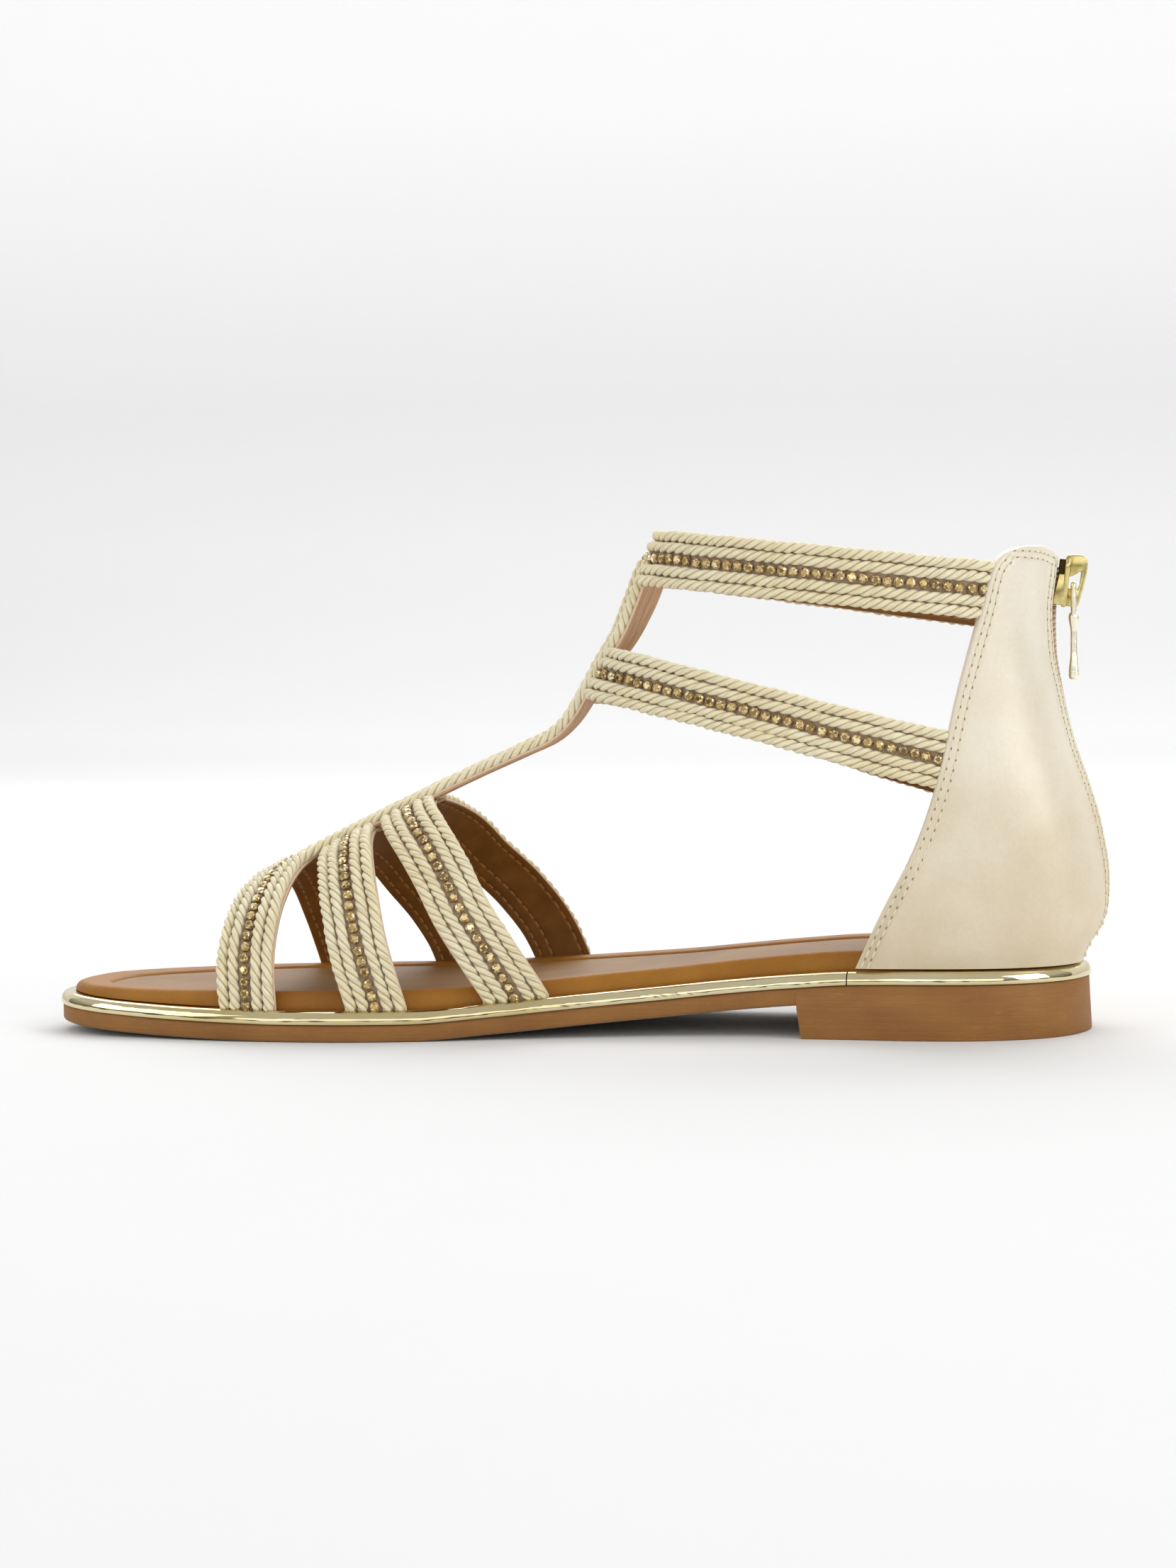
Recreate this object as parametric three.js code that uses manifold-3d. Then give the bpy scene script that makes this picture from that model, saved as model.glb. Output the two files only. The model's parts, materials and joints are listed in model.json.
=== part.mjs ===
// Gladiator sandal, right foot: flat heel, rope and stone straps on a T-bar, heel counter with a back zip.
// Millimetres, +Z up. X runs from the toe (-) to the heel (+), Y from the inner (-) to the outer side (+).
import * as THREE from "three";
import { mergeVertices } from "three/addons/utils/BufferGeometryUtils.js";
import Module from "manifold-3d";

const wasm = await Module();
wasm.setup();

// Driving sizes of the last and of the shoe on it
const SOLE_LENGTH = 250;
const BALL_WIDTH = 84;
const ANKLE_WIDTH = 60;
const COLLAR_HEIGHT = 115;
const BAR_HEIGHT = 120;
const HEEL_SEAT = 13;
const CLEARANCE = 0.3;

// Unit sole with its heel block moulded on
const OUTSOLE_THICKNESS = 4.1;
const OUTSOLE_SET_IN = 0.5;
const OUTSOLE_BEVEL = 0.7;
const HEEL_BREAST = 181.5;
const HEEL_BREAST_RAKE = 1.2;
const HEEL_FLARE = 0.6;

// Bright rand between sole and footbed, in two lengths
const RAND_WIDTH = 4.5;
const RAND_HEIGHT = 3.1;
const RAND_FOOT_ROUND = 1.1;
const RAND_FOOT_INSET = 0.7;
const RAND_SHOULDER = 0.45;
const RAND_TOP_ROUND = 1.5;
const RAND_JOINT = 193.5;

// Padded footbed with a sunk sock
const FOOTBED_SET_IN = 5.1;
const FOOTBED_SIDE = 4.2;
const FOOTBED_ROUND = 1.6;
const FOOTBED_LIP = 1.5;
const FOOTBED_LIP_EDGE = 0.2;
const SOCK_SET_IN = 12.5;
const SOCK_THICKNESS = 0.9;
const SOCK_RECESS = 1.5;

// Straps: four ropes and a row of stones on a lined base
const ROPE_DIAMETER = 2.75;
const STONE_ROW_WIDTH = 2.8;
const STONE_HEIGHT = 1.3;
const STRAP_BASE = 1.5;
const ROPE_STAND = 1.7;
const ROPE_GROOVE = 0.7;
const ROPE_CREST = 0.66;
const STONE_BEVEL = 0.28;
const STRAP_FOOT_SET_IN = 1.4;
const STRAP_FOOT_GAP = 0.5;
const STRAP_CROWN = 55;
const STRAP_LAP = 1.5;
const BAR_CROWN_TOP = 9.5;
const BAR_CROWN_TOE = 20;

// Heel counter in two quarters
const QUARTER_STAND_OFF = 0.6;
const QUARTER_THICKNESS = 2.6;
const ZIP_OPENING = 9.2;

// Back zip
const TAPE_WIDTH = 24;
const TAPE_THICKNESS = 0.7;
const TAPE_TOP_GAP = 1;
const TAPE_CLEARANCE = 0.85;
const CHAIN_WIDTH = 5;
const CHAIN_PROUD = 3.9;
const CHAIN_TOP_GAP = 4.6;
const SLIDER_LENGTH = 12.7;
const SLIDER_WIDTH = 9;
const SLIDER_PLATE = 1.2;
const SLIDER_TOP_GAP = 1.8;
const FLANGE_THICKNESS = 1;
const BAIL_REACH = 4;
const BAIL_THICKNESS = 1.3;
const BAIL_WIDTH = 2;
const PULL_PIN = 1.2;
const PULL_ARM = 1.1;
const PULL_WINDOW = 6.4;
const PULL_LENGTH = 22.5;

const STRAP_WIDTH = 4 * ROPE_DIAMETER + STONE_ROW_WIDTH;
const STRAP_THICKNESS = STRAP_BASE + ROPE_STAND;
const STRAP_INNER_SET_IN = STRAP_FOOT_SET_IN + STRAP_THICKNESS;
const QUARTER_OUTER = QUARTER_STAND_OFF + QUARTER_THICKNESS;

// Outline of the sole: along is a share of SOLE_LENGTH, inner and outer are shares of BALL_WIDTH
const OUTLINE = [
  { along: 0, inner: 0.165, outer: -0.165 },
  { along: 0.012, inner: 0.262, outer: 0.06 },
  { along: 0.032, inner: 0.33, outer: 0.155 },
  { along: 0.06, inner: 0.378, outer: 0.24 },
  { along: 0.1, inner: 0.411, outer: 0.321 },
  { along: 0.16, inner: 0.452, outer: 0.399 },
  { along: 0.22, inner: 0.476, outer: 0.452 },
  { along: 0.3, inner: 0.482, outer: 0.5 },
  { along: 0.38, inner: 0.446, outer: 0.518 },
  { along: 0.46, inner: 0.387, outer: 0.5 },
  { along: 0.56, inner: 0.327, outer: 0.44 },
  { along: 0.66, inner: 0.304, outer: 0.381 },
  { along: 0.76, inner: 0.321, outer: 0.351 },
  { along: 0.84, inner: 0.345, outer: 0.351 },
  { along: 0.9, inner: 0.333, outer: 0.333 },
  { along: 0.952, inner: 0.268, outer: 0.268 },
  { along: 0.984, inner: 0.167, outer: 0.167 },
  { along: 1, inner: 0, outer: 0 },
];

// Lift of the sole from toe spring to heel: lift is a share of HEEL_SEAT less the sole's thickness,
// footbed the height of the footbed's side as a share of FOOTBED_SIDE, lip how far it spreads at the toe
const SOLE_LIFT = [
  { along: 0, lift: 0.29, footbed: 0.5, lip: 1 },
  { along: 0.06, lift: 0.175, footbed: 0.62, lip: 1 },
  { along: 0.12, lift: 0.085, footbed: 0.76, lip: 0.9 },
  { along: 0.2, lift: 0.02, footbed: 0.93, lip: 0 },
  { along: 0.24, lift: 0, footbed: 0.96, lip: 0 },
  { along: 0.36, lift: 0, footbed: 0.98, lip: 0 },
  { along: 0.44, lift: 0.145, footbed: 0.92, lip: 0 },
  { along: 0.52, lift: 0.34, footbed: 0.88, lip: 0 },
  { along: 0.6, lift: 0.54, footbed: 0.88, lip: 0 },
  { along: 0.66, lift: 0.71, footbed: 0.92, lip: 0 },
  { along: 0.72, lift: 0.86, footbed: 0.97, lip: 0 },
  { along: 0.78, lift: 0.97, footbed: 1, lip: 0 },
  { along: 0.84, lift: 1, footbed: 1, lip: 0 },
  { along: 1, lift: 1, footbed: 1, lip: 0 },
];

// Outer line of the T-bar over the instep: along a share of SOLE_LENGTH, rise a share of BAR_HEIGHT
const BAR_LINE = [
  { along: 0.185, rise: 0.315 },
  { along: 0.206, rise: 0.335 },
  { along: 0.242, rise: 0.37 },
  { along: 0.286, rise: 0.417 },
  { along: 0.342, rise: 0.473 },
  { along: 0.4, rise: 0.53 },
  { along: 0.45, rise: 0.576 },
  { along: 0.478, rise: 0.604 },
  { along: 0.494, rise: 0.637 },
  { along: 0.509, rise: 0.69 },
  { along: 0.523, rise: 0.742 },
  { along: 0.54, rise: 0.804 },
  { along: 0.551, rise: 0.862 },
  { along: 0.56, rise: 0.912 },
  { along: 0.57, rise: 0.952 },
  { along: 0.583, rise: 1 },
];

// Leg of the last behind the instep: height a share of COLLAR_HEIGHT, back a share of SOLE_LENGTH,
// inner and outer shares of ANKLE_WIDTH, round the exponent of the plan curve
const LEG = [
  { height: 0.14, back: 0.98, inner: 0.397, outer: 0.412, round: 2.6 },
  { height: 0.18, back: 0.988, inner: 0.425, outer: 0.43, round: 2.6 },
  { height: 0.22, back: 1, inner: 0.44, outer: 0.443, round: 2.5 },
  { height: 0.265, back: 1.0065, inner: 0.452, outer: 0.455, round: 2.4 },
  { height: 0.32, back: 1.008, inner: 0.458, outer: 0.46, round: 2.3 },
  { height: 0.42, back: 1.0015, inner: 0.458, outer: 0.46, round: 2.25 },
  { height: 0.5, back: 0.991, inner: 0.452, outer: 0.453, round: 2.2 },
  { height: 0.605, back: 0.975, inner: 0.437, outer: 0.437, round: 2.15 },
  { height: 0.7, back: 0.965, inner: 0.427, outer: 0.427, round: 2.1 },
  { height: 0.79, back: 0.957, inner: 0.425, outer: 0.425, round: 2.1 },
  { height: 0.86, back: 0.9555, inner: 0.43, outer: 0.43, round: 2.05 },
  { height: 0.95, back: 0.96, inner: 0.438, outer: 0.438, round: 2 },
  { height: 1.06, back: 0.965, inner: 0.445, outer: 0.445, round: 2 },
];
const LEG_CENTRE = 0.83 * SOLE_LENGTH;

// Front edge of each quarter: height a share of COLLAR_HEIGHT, along a share of SOLE_LENGTH
const QUARTER_FRONT = [
  { height: 0.14, along: 0.781 },
  { height: 0.26, along: 0.807 },
  { height: 0.395, along: 0.8385 },
  { height: 0.525, along: 0.8585 },
  { height: 0.7, along: 0.876 },
  { height: 0.875, along: 0.897 },
  { height: 0.955, along: 0.9065 },
  { height: 0.982, along: 0.915 },
  { height: 0.995, along: 0.926 },
  { height: 1, along: 0.94 },
];

// Straps over the forefoot: where the middle of a strap starts and ends, as shares of SOLE_LENGTH
const VAMP_STRAPS = [
  { innerFoot: 0.209, outerFoot: 0.248, top: 0.228 },
  { innerFoot: 0.332, outerFoot: 0.366, top: 0.286 },
  { innerFoot: 0.461, outerFoot: 0.47, top: 0.344 },
];

// How a forefoot strap leans towards its top as it rises: rise and lean are both shares of the whole way
const LEAN_FRONT = [
  { rise: 0, inner: 0, outer: 0 },
  { rise: 0.4, inner: -0.15, outer: 0.55 },
  { rise: 0.65, inner: -0.05, outer: 0.8 },
  { rise: 0.85, inner: 0.2, outer: 0.9 },
  { rise: 0.95, inner: 0.5, outer: 0.95 },
  { rise: 1, inner: 1, outer: 1 },
];
const LEAN_BACK = [
  { rise: 0, inner: 0, outer: 0 },
  { rise: 0.2, inner: 0.22, outer: 0.15 },
  { rise: 0.4, inner: 0.42, outer: 0.36 },
  { rise: 0.62, inner: 0.6, outer: 0.62 },
  { rise: 0.8, inner: 0.77, outer: 0.78 },
  { rise: 1, inner: 1, outer: 1 },
];

// Ankle straps: heights of the middle of each strap, as shares of COLLAR_HEIGHT, and how much lower it lies
// on the outer side, at the bar and at the quarter
const ANKLE_STRAPS = {
  top: { atBar: 0.986, atQuarter: 0.911, dropAtBar: 0, dropAtQuarter: 0.023 },
  middle: { atBar: 0.75, atQuarter: 0.569, dropAtBar: 0.012, dropAtQuarter: 0.042 },
};

// Zip chain: height a share of COLLAR_HEIGHT, proud how far its face stands outside the last as a share of
// CHAIN_PROUD
const CHAIN_LINE = [
  { height: 0.15, proud: 0.69 },
  { height: 0.5, proud: 0.72 },
  { height: 0.75, proud: 0.92 },
  { height: 0.9, proud: 1 },
  { height: 1, proud: 1 },
];

// Pull tab below its window: along a share of PULL_LENGTH from the pin, width and depth in its own sizes
const PULL_TOP_WIDTH = 4.6;
const PULL_DEPTH = 2.6;
const PULL_TAB = [
  { along: 0.31, width: 1, depth: 0.85 },
  { along: 0.36, width: 1.05, depth: 1 },
  { along: 0.44, width: 0.95, depth: 0.8 },
  { along: 0.5, width: 0.76, depth: 0.62 },
  { along: 0.72, width: 0.78, depth: 0.65 },
  { along: 0.86, width: 0.98, depth: 0.88 },
  { along: 0.94, width: 1.14, depth: 1 },
  { along: 0.985, width: 1.06, depth: 0.85 },
  { along: 1, width: 0.8, depth: 0.5 },
];

// Smooth line through one column of a table, with no overshoot between its rows
function column(table, key, name) {
  const xs = table.map((row) => row[key]);
  const ys = table.map((row) => row[name]);
  const steps = xs.slice(1).map((x, i) => (ys[i + 1] - ys[i]) / (x - xs[i]));
  const slopes = xs.map((_, i) => {
    const before = steps[i - 1] ?? steps[i];
    const after = steps[i] ?? steps[i - 1];
    return before * after <= 0 ? 0 : (2 * before * after) / (before + after);
  });
  return (value) => {
    const x = THREE.MathUtils.clamp(value, xs[0], xs.at(-1));
    let i = 0;
    while (i < xs.length - 2 && x > xs[i + 1]) i += 1;
    const span = xs[i + 1] - xs[i];
    const t = (x - xs[i]) / span;
    const rise = ys[i + 1] - ys[i];
    const start = slopes[i] * span;
    const end = slopes[i + 1] * span;
    return ys[i] + t * (start + t * (3 * rise - 2 * start - end + t * (start + end - 2 * rise)));
  };
}

const point = (x, y, z) => new THREE.Vector3(x, y, z);
const mix = (a, b, t) => a + (b - a) * t;
const signedPower = (value, power) => Math.sign(value) * Math.abs(value) ** power;

// Heights of the stacked layers along the shoe
const liftAt = column(SOLE_LIFT, "along", "lift");
const footbedAt = column(SOLE_LIFT, "along", "footbed");
const lipAt = column(SOLE_LIFT, "along", "lip");
const soleUnder = (x) => liftAt(x / SOLE_LENGTH) * (HEEL_SEAT - OUTSOLE_THICKNESS);
const soleTop = (x) => soleUnder(x) + OUTSOLE_THICKNESS;
const randTop = (x) => soleTop(x) + CLEARANCE + RAND_HEIGHT;
const footbedTop = (x) => randTop(x) + footbedAt(x / SOLE_LENGTH) * FOOTBED_SIDE;

// Closed outline of the sole, from the toe round the outer side to the heel and back along the inner side
const outerRows = OUTLINE.map((row) => point(row.along * SOLE_LENGTH, row.outer * BALL_WIDTH, 0));
const innerRows = OUTLINE.slice(1, -1).reverse();
const innerPoints = innerRows.map((row) => point(row.along * SOLE_LENGTH, -row.inner * BALL_WIDTH, 0));
const outline = new THREE.CatmullRomCurve3([...outerRows, ...innerPoints], true, "centripetal");
const OUTLINE_POINTS = 2 * (outerRows.length + innerPoints.length);

// A point of the outline moved inwards by setIn
function outlineAt(share, setIn) {
  const place = outline.getPoint(share % 1);
  const along = outline.getTangent(share % 1);
  return point(place.x + along.y * setIn, place.y - along.x * setIn, 0);
}

// One ring round the sole; setIn and height may follow the length
function ring(setIn, heightAt) {
  return Array.from({ length: OUTLINE_POINTS }, (_, i) => {
    const share = i / OUTLINE_POINTS;
    const along = outline.getPoint(share).x;
    const place = outlineAt(share, typeof setIn === "function" ? setIn(along) : setIn);
    place.z = heightAt(place.x);
    return place;
  });
}

// Half width of the sole at a place along it, on the inner (-1) or outer (+1) side
const innerWidthAt = column(OUTLINE, "along", "inner");
const outerWidthAt = column(OUTLINE, "along", "outer");
const halfWidth = (x, side) => (side < 0 ? innerWidthAt : outerWidthAt)(x / SOLE_LENGTH) * BALL_WIDTH;

// Turns points and faces into a geometry whose faces point out
function solid(points, faces) {
  let volume = 0;
  for (const [a, b, c] of faces) {
    volume += points[a].dot(point(0, 0, 0).crossVectors(points[b], points[c]));
  }
  const outward = volume < 0 ? faces.map(([a, b, c]) => [a, c, b]) : faces;
  const geometry = new THREE.BufferGeometry();
  geometry.setAttribute("position", new THREE.Float32BufferAttribute(points.flatMap((p) => p.toArray()), 3));
  geometry.setIndex(outward.flat());
  return geometry;
}

// Side faces between equal loops of points
function sideFaces(loops) {
  const count = loops[0].length;
  const faces = [];
  for (let row = 0; row < loops.length - 1; row += 1) {
    for (let i = 0; i < count; i += 1) {
      const next = (i + 1) % count;
      const low = row * count;
      const high = low + count;
      faces.push([low + i, low + next, high + next], [low + i, high + next, high + i]);
    }
  }
  return faces;
}

// Solid from rings round the sole; each end is closed by a ladder of faces from side to side
function ringSolid(rings) {
  const count = rings[0].length;
  const faces = sideFaces(rings);
  const last = (rings.length - 1) * count;
  for (let i = 0; i < count / 2; i += 1) {
    const [a, b] = [i, i + 1];
    const [c, d] = [(count - i - 1) % count, (count - i) % count];
    for (const [base, flip] of [[0, true], [last, false]]) {
      const first = [base + a, base + b, base + c];
      const second = [base + a, base + c, base + d];
      if (b !== c) faces.push(flip ? [first[0], first[2], first[1]] : first);
      if (a !== d) faces.push(flip ? [second[0], second[2], second[1]] : second);
    }
  }
  return solid(rings.flat(), faces);
}

// Solid from equal closed sections along a path; profile is the flat outline that closes its two ends
function loft(sections, profile) {
  const count = profile.length;
  const faces = sideFaces(sections);
  const last = (sections.length - 1) * count;
  for (const [a, b, c] of THREE.ShapeUtils.triangulateShape(profile, [])) {
    const start = THREE.ShapeUtils.isClockWise(profile) ? [a, b, c] : [a, c, b];
    const end = THREE.ShapeUtils.isClockWise(profile) ? [a, c, b] : [a, b, c];
    faces.push(start, end.map((i) => i + last));
  }
  return solid(sections.flat(), faces);
}

// Joins and cuts between closed geometries
function toManifold(geometry) {
  const bare = geometry.clone();
  bare.deleteAttribute("normal");
  bare.deleteAttribute("uv");
  const merged = mergeVertices(bare, 1e-4);
  const vertProperties = new Float32Array(merged.attributes.position.array);
  const triVerts = new Uint32Array(merged.index.array);
  return new wasm.Manifold(new wasm.Mesh({ numProp: 3, vertProperties, triVerts }));
}

function fromManifold(body) {
  const mesh = body.getMesh();
  const geometry = new THREE.BufferGeometry();
  geometry.setAttribute("position", new THREE.Float32BufferAttribute(mesh.vertProperties, 3));
  geometry.setIndex(new THREE.Uint32BufferAttribute(mesh.triVerts, 1));
  return geometry;
}

const join = (geometries) => fromManifold(geometries.map(toManifold).reduce((a, b) => a.add(b)));
const common = (a, b) => fromManifold(toManifold(a).intersect(toManifold(b)));

// Sole

function outsoleGeometry() {
  const plate = ringSolid([
    ring(OUTSOLE_SET_IN + OUTSOLE_BEVEL, soleUnder),
    ring(OUTSOLE_SET_IN, (x) => soleUnder(x) + OUTSOLE_BEVEL),
    ring(OUTSOLE_SET_IN, soleTop),
  ]);
  const block = ringSolid([
    ring(OUTSOLE_SET_IN - HEEL_FLARE + OUTSOLE_BEVEL / 2, () => 0),
    ring(OUTSOLE_SET_IN - HEEL_FLARE, () => OUTSOLE_BEVEL / 2),
    ring(OUTSOLE_SET_IN, () => HEEL_SEAT),
  ]);
  const top = HEEL_SEAT - OUTSOLE_THICKNESS / 2;
  const side = new THREE.Shape([
    new THREE.Vector2(HEEL_BREAST + HEEL_BREAST_RAKE, -1),
    new THREE.Vector2(SOLE_LENGTH + BALL_WIDTH, -1),
    new THREE.Vector2(SOLE_LENGTH + BALL_WIDTH, top),
    new THREE.Vector2(HEEL_BREAST, top),
  ]);
  const behindBreast = new THREE.ExtrudeGeometry(side, { depth: 2 * BALL_WIDTH, bevelEnabled: false });
  behindBreast.rotateX(Math.PI / 2);
  behindBreast.translate(0, BALL_WIDTH, 0);
  return join([plate, common(block, behindBreast)]);
}

// The rand's section: set in from the outline, and up from the sole's top
const RAND_SECTION = [
  new THREE.Vector2(RAND_WIDTH, 0),
  new THREE.Vector2(RAND_FOOT_INSET, 0),
  new THREE.Vector2(0, RAND_FOOT_ROUND),
  new THREE.Vector2(0, RAND_HEIGHT - RAND_TOP_ROUND),
  new THREE.Vector2(RAND_SHOULDER, RAND_HEIGHT - RAND_SHOULDER),
  new THREE.Vector2(RAND_TOP_ROUND, RAND_HEIGHT),
  new THREE.Vector2(RAND_WIDTH, RAND_HEIGHT),
];

// Shares of the outline at which it crosses a place along the sole, on the outer and the inner side
function outlineCrossings(x) {
  const found = [];
  const steps = 8 * OUTLINE_POINTS;
  for (let i = 0; i < steps; i += 1) {
    const a = outline.getPoint(i / steps).x - x;
    const b = outline.getPoint(((i + 1) % steps) / steps).x - x;
    if (a * b < 0) found.push((i + a / (a - b)) / steps);
  }
  return found;
}

// A length of rand between two shares of the outline
function randGeometry(from, to) {
  const steps = Math.ceil((to - from) * OUTLINE_POINTS);
  const sections = Array.from({ length: steps + 1 }, (_, i) => {
    const share = mix(from, to, i / steps);
    return RAND_SECTION.map((corner) => {
      const place = outlineAt(share, corner.x);
      place.z = soleTop(place.x) + CLEARANCE + corner.y;
      return place;
    });
  });
  return loft(sections, RAND_SECTION);
}

function footbedGeometry() {
  const lip = (x) => FOOTBED_SET_IN - lipAt(x / SOLE_LENGTH) * FOOTBED_LIP;
  const base = (x) => soleTop(x) + CLEARANCE;
  const overRand = (x) => randTop(x) + CLEARANCE;
  return ringSolid([
    ring(FOOTBED_SET_IN, base),
    ring(FOOTBED_SET_IN, overRand),
    ring(lip, (x) => overRand(x) + FOOTBED_LIP_EDGE),
    ring(lip, (x) => Math.max(footbedTop(x) - FOOTBED_ROUND, overRand(x) + 2 * FOOTBED_LIP_EDGE)),
    ring((x) => lip(x) + FOOTBED_ROUND, footbedTop),
    ring(SOCK_SET_IN - CLEARANCE, footbedTop),
    ring(SOCK_SET_IN - CLEARANCE, (x) => footbedTop(x) - SOCK_RECESS),
  ]);
}

function sockGeometry() {
  const bottom = (x) => footbedTop(x) - SOCK_RECESS + CLEARANCE;
  return ringSolid([
    ring(SOCK_SET_IN, bottom),
    ring(SOCK_SET_IN, (x) => bottom(x) + SOCK_THICKNESS / 2),
    ring(SOCK_SET_IN + SOCK_THICKNESS, (x) => bottom(x) + SOCK_THICKNESS),
  ]);
}

// Straps

// Half of a strap's section, across and up, from its edge to its middle: two ropes and half the stones
const stoneEdge = STONE_ROW_WIDTH / 2;
const groove = stoneEdge + ROPE_DIAMETER;
const halfStrap = STRAP_WIDTH / 2;
const strapCorners = [
  [halfStrap, 0],
  [groove + ROPE_DIAMETER / 2 + ROPE_CREST, STRAP_THICKNESS],
  [groove + ROPE_DIAMETER / 2 - ROPE_CREST, STRAP_THICKNESS],
  [groove, STRAP_BASE + ROPE_GROOVE],
  [stoneEdge + ROPE_DIAMETER / 2 + ROPE_CREST, STRAP_THICKNESS],
  [stoneEdge + ROPE_DIAMETER / 2 - ROPE_CREST, STRAP_THICKNESS],
  [stoneEdge - STONE_BEVEL, STRAP_BASE + STONE_HEIGHT],
];
const STRAP_SECTION = [
  ...strapCorners.map(([across, up]) => new THREE.Vector2(across, up)),
  ...strapCorners.toReversed().map(([across, up]) => new THREE.Vector2(-across, up)),
];

// The T-bar's path: its outer line, and the line on the last one strap thickness below it
const barCurve = new THREE.CatmullRomCurve3(
  BAR_LINE.map((row) => point(row.along * SOLE_LENGTH, 0, row.rise * BAR_HEIGHT)), false, "centripetal");
const BAR_STEPS = 22;
const barFrames = Array.from({ length: BAR_STEPS + 1 }, (_, i) => {
  const along = barCurve.getTangentAt(i / BAR_STEPS);
  const out = point(-along.z, 0, along.x);
  const under = barCurve.getPointAt(i / BAR_STEPS).addScaledVector(out, -STRAP_THICKNESS);
  return { share: i / BAR_STEPS, out, under };
});

// Reads one coordinate of the bar's under line from another
function barUnder(from, to, value) {
  let i = 0;
  while (i < BAR_STEPS - 1 && barFrames[i + 1].under[from] < value) i += 1;
  const [a, b] = [barFrames[i].under, barFrames[i + 1].under];
  return mix(a[to], b[to], (value - a[from]) / (b[from] - a[from]));
}

function barGeometry() {
  const sections = barFrames.slice(1).map(({ share, out, under }) => {
    const crown = mix(BAR_CROWN_TOE, BAR_CROWN_TOP, share);
    return STRAP_SECTION.map(({ x, y }) => {
      const up = y - (x * x) / (2 * crown);
      return point(under.x + out.x * up, x, under.z + out.z * up);
    });
  });
  return loft(sections, STRAP_SECTION);
}

// The last over the forefoot: around runs from 0 at the footbed's edge to 1 on the instep ridge, and lap is
// how far a strap that ends under the bar lies below it there
const VAMP_ROUND = { inner: 2.3, outer: 1.9 };
function vamp(x, around, side, lap) {
  const power = 2 / (side < 0 ? VAMP_ROUND.inner : VAMP_ROUND.outer);
  const width = halfWidth(x, side) - STRAP_INNER_SET_IN;
  const base = randTop(x) + STRAP_FOOT_GAP;
  const angle = (around * Math.PI) / 2;
  const rise = signedPower(Math.sin(angle), power);
  const y = side * width * signedPower(Math.cos(angle), power);
  return point(x, y, mix(base, barUnder("x", "z", x) - lap, rise));
}

// Middle line of a forefoot strap on one side
function strapPath(strap, lean, side) {
  const leanAt = column(lean, "rise", side < 0 ? "inner" : "outer");
  const foot = (side < 0 ? strap.innerFoot : strap.outerFoot) * SOLE_LENGTH;
  const power = 2 / (side < 0 ? VAMP_ROUND.inner : VAMP_ROUND.outer);
  return (around) => {
    const rise = Math.sin((Math.min(around, 1) * Math.PI) / 2) ** power;
    return mix(foot, strap.top * SOLE_LENGTH, leanAt(rise));
  };
}

// Sections of a strap over the forefoot, from its foot on the rand up to a place near the ridge
const FOOT_BLEND = 0.3;
const FOOT_LEAST_TURN = 0.3;
const VAMP_STEPS = 12;
function vampSections(strap, lean, side, lap, until) {
  const alongAt = strapPath(strap, lean, side);
  const small = 0.002;
  const at = (x, around) => vamp(x, around, side, lap);
  return Array.from({ length: VAMP_STEPS + 1 }, (_, i) => {
    const around = (until * i) / VAMP_STEPS;
    const x = alongAt(around);
    const middle = at(x, around);
    const [from, to] = [Math.max(around - small, 0), around + small];
    const path = at(alongAt(to), to).sub(at(alongAt(from), from)).normalize();
    const up = at(x, to).sub(at(x, from)).normalize();
    const back = at(x + 1, around).sub(at(x - 1, around)).normalize();
    const out = point(0, 0, 0).crossVectors(back, up).multiplyScalar(-side).normalize();
    const across = point(0, 0, 0).crossVectors(path, out).multiplyScalar(-side).normalize();
    const level = back.clone().divideScalar(Math.max(back.dot(across), FOOT_LEAST_TURN));
    const free = THREE.MathUtils.smoothstep(around, 0, FOOT_BLEND);
    across.lerpVectors(level, across, free);
    return STRAP_SECTION.map(({ x: wide, y: high }) => {
      const lift = high - (free * wide * wide) / (2 * STRAP_CROWN);
      return middle.clone().addScaledVector(across, wide).addScaledVector(out, lift);
    });
  });
}

// Share of the way up at which a strap has come within a distance of the ridge
function nearRidge(strap, lean, side, distance) {
  const alongAt = strapPath(strap, lean, side);
  let around = 1;
  while (Math.abs(vamp(alongAt(around), around, side, 0).y) < distance) around -= 0.002;
  return around;
}

function vampStrapGeometries() {
  const [front, ...others] = VAMP_STRAPS;
  const inner = vampSections(front, LEAN_FRONT, -1, 0, 1);
  const outer = vampSections(front, LEAN_FRONT, 1, 0, 1).slice(0, -1).reverse();
  const pieces = [loft([...inner, ...outer], STRAP_SECTION)];
  for (const strap of others) {
    for (const side of [-1, 1]) {
      const until = nearRidge(strap, LEAN_BACK, side, halfStrap - ROPE_DIAMETER / 2);
      pieces.push(loft(vampSections(strap, LEAN_BACK, side, STRAP_LAP, until), STRAP_SECTION));
    }
  }
  return pieces;
}

// Leg of the last: a plan curve at each height, angle 0 at the back and PI on the instep, moved out by stand
const legBack = column(LEG, "height", "back");
const legInner = column(LEG, "height", "inner");
const legOuter = column(LEG, "height", "outer");
const legRound = column(LEG, "height", "round");
function legSurface(z, angle, side) {
  const share = z / COLLAR_HEIGHT;
  const power = 2 / legRound(share);
  const width = (side < 0 ? legInner : legOuter)(share) * ANKLE_WIDTH;
  const behind = legBack(share) * SOLE_LENGTH - LEG_CENTRE;
  const ahead = LEG_CENTRE - barUnder("z", "x", z);
  const reach = Math.cos(angle) > 0 ? behind : ahead;
  const y = side * width * signedPower(Math.sin(angle), power);
  return point(LEG_CENTRE + reach * signedPower(Math.cos(angle), power), y, z);
}

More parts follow.
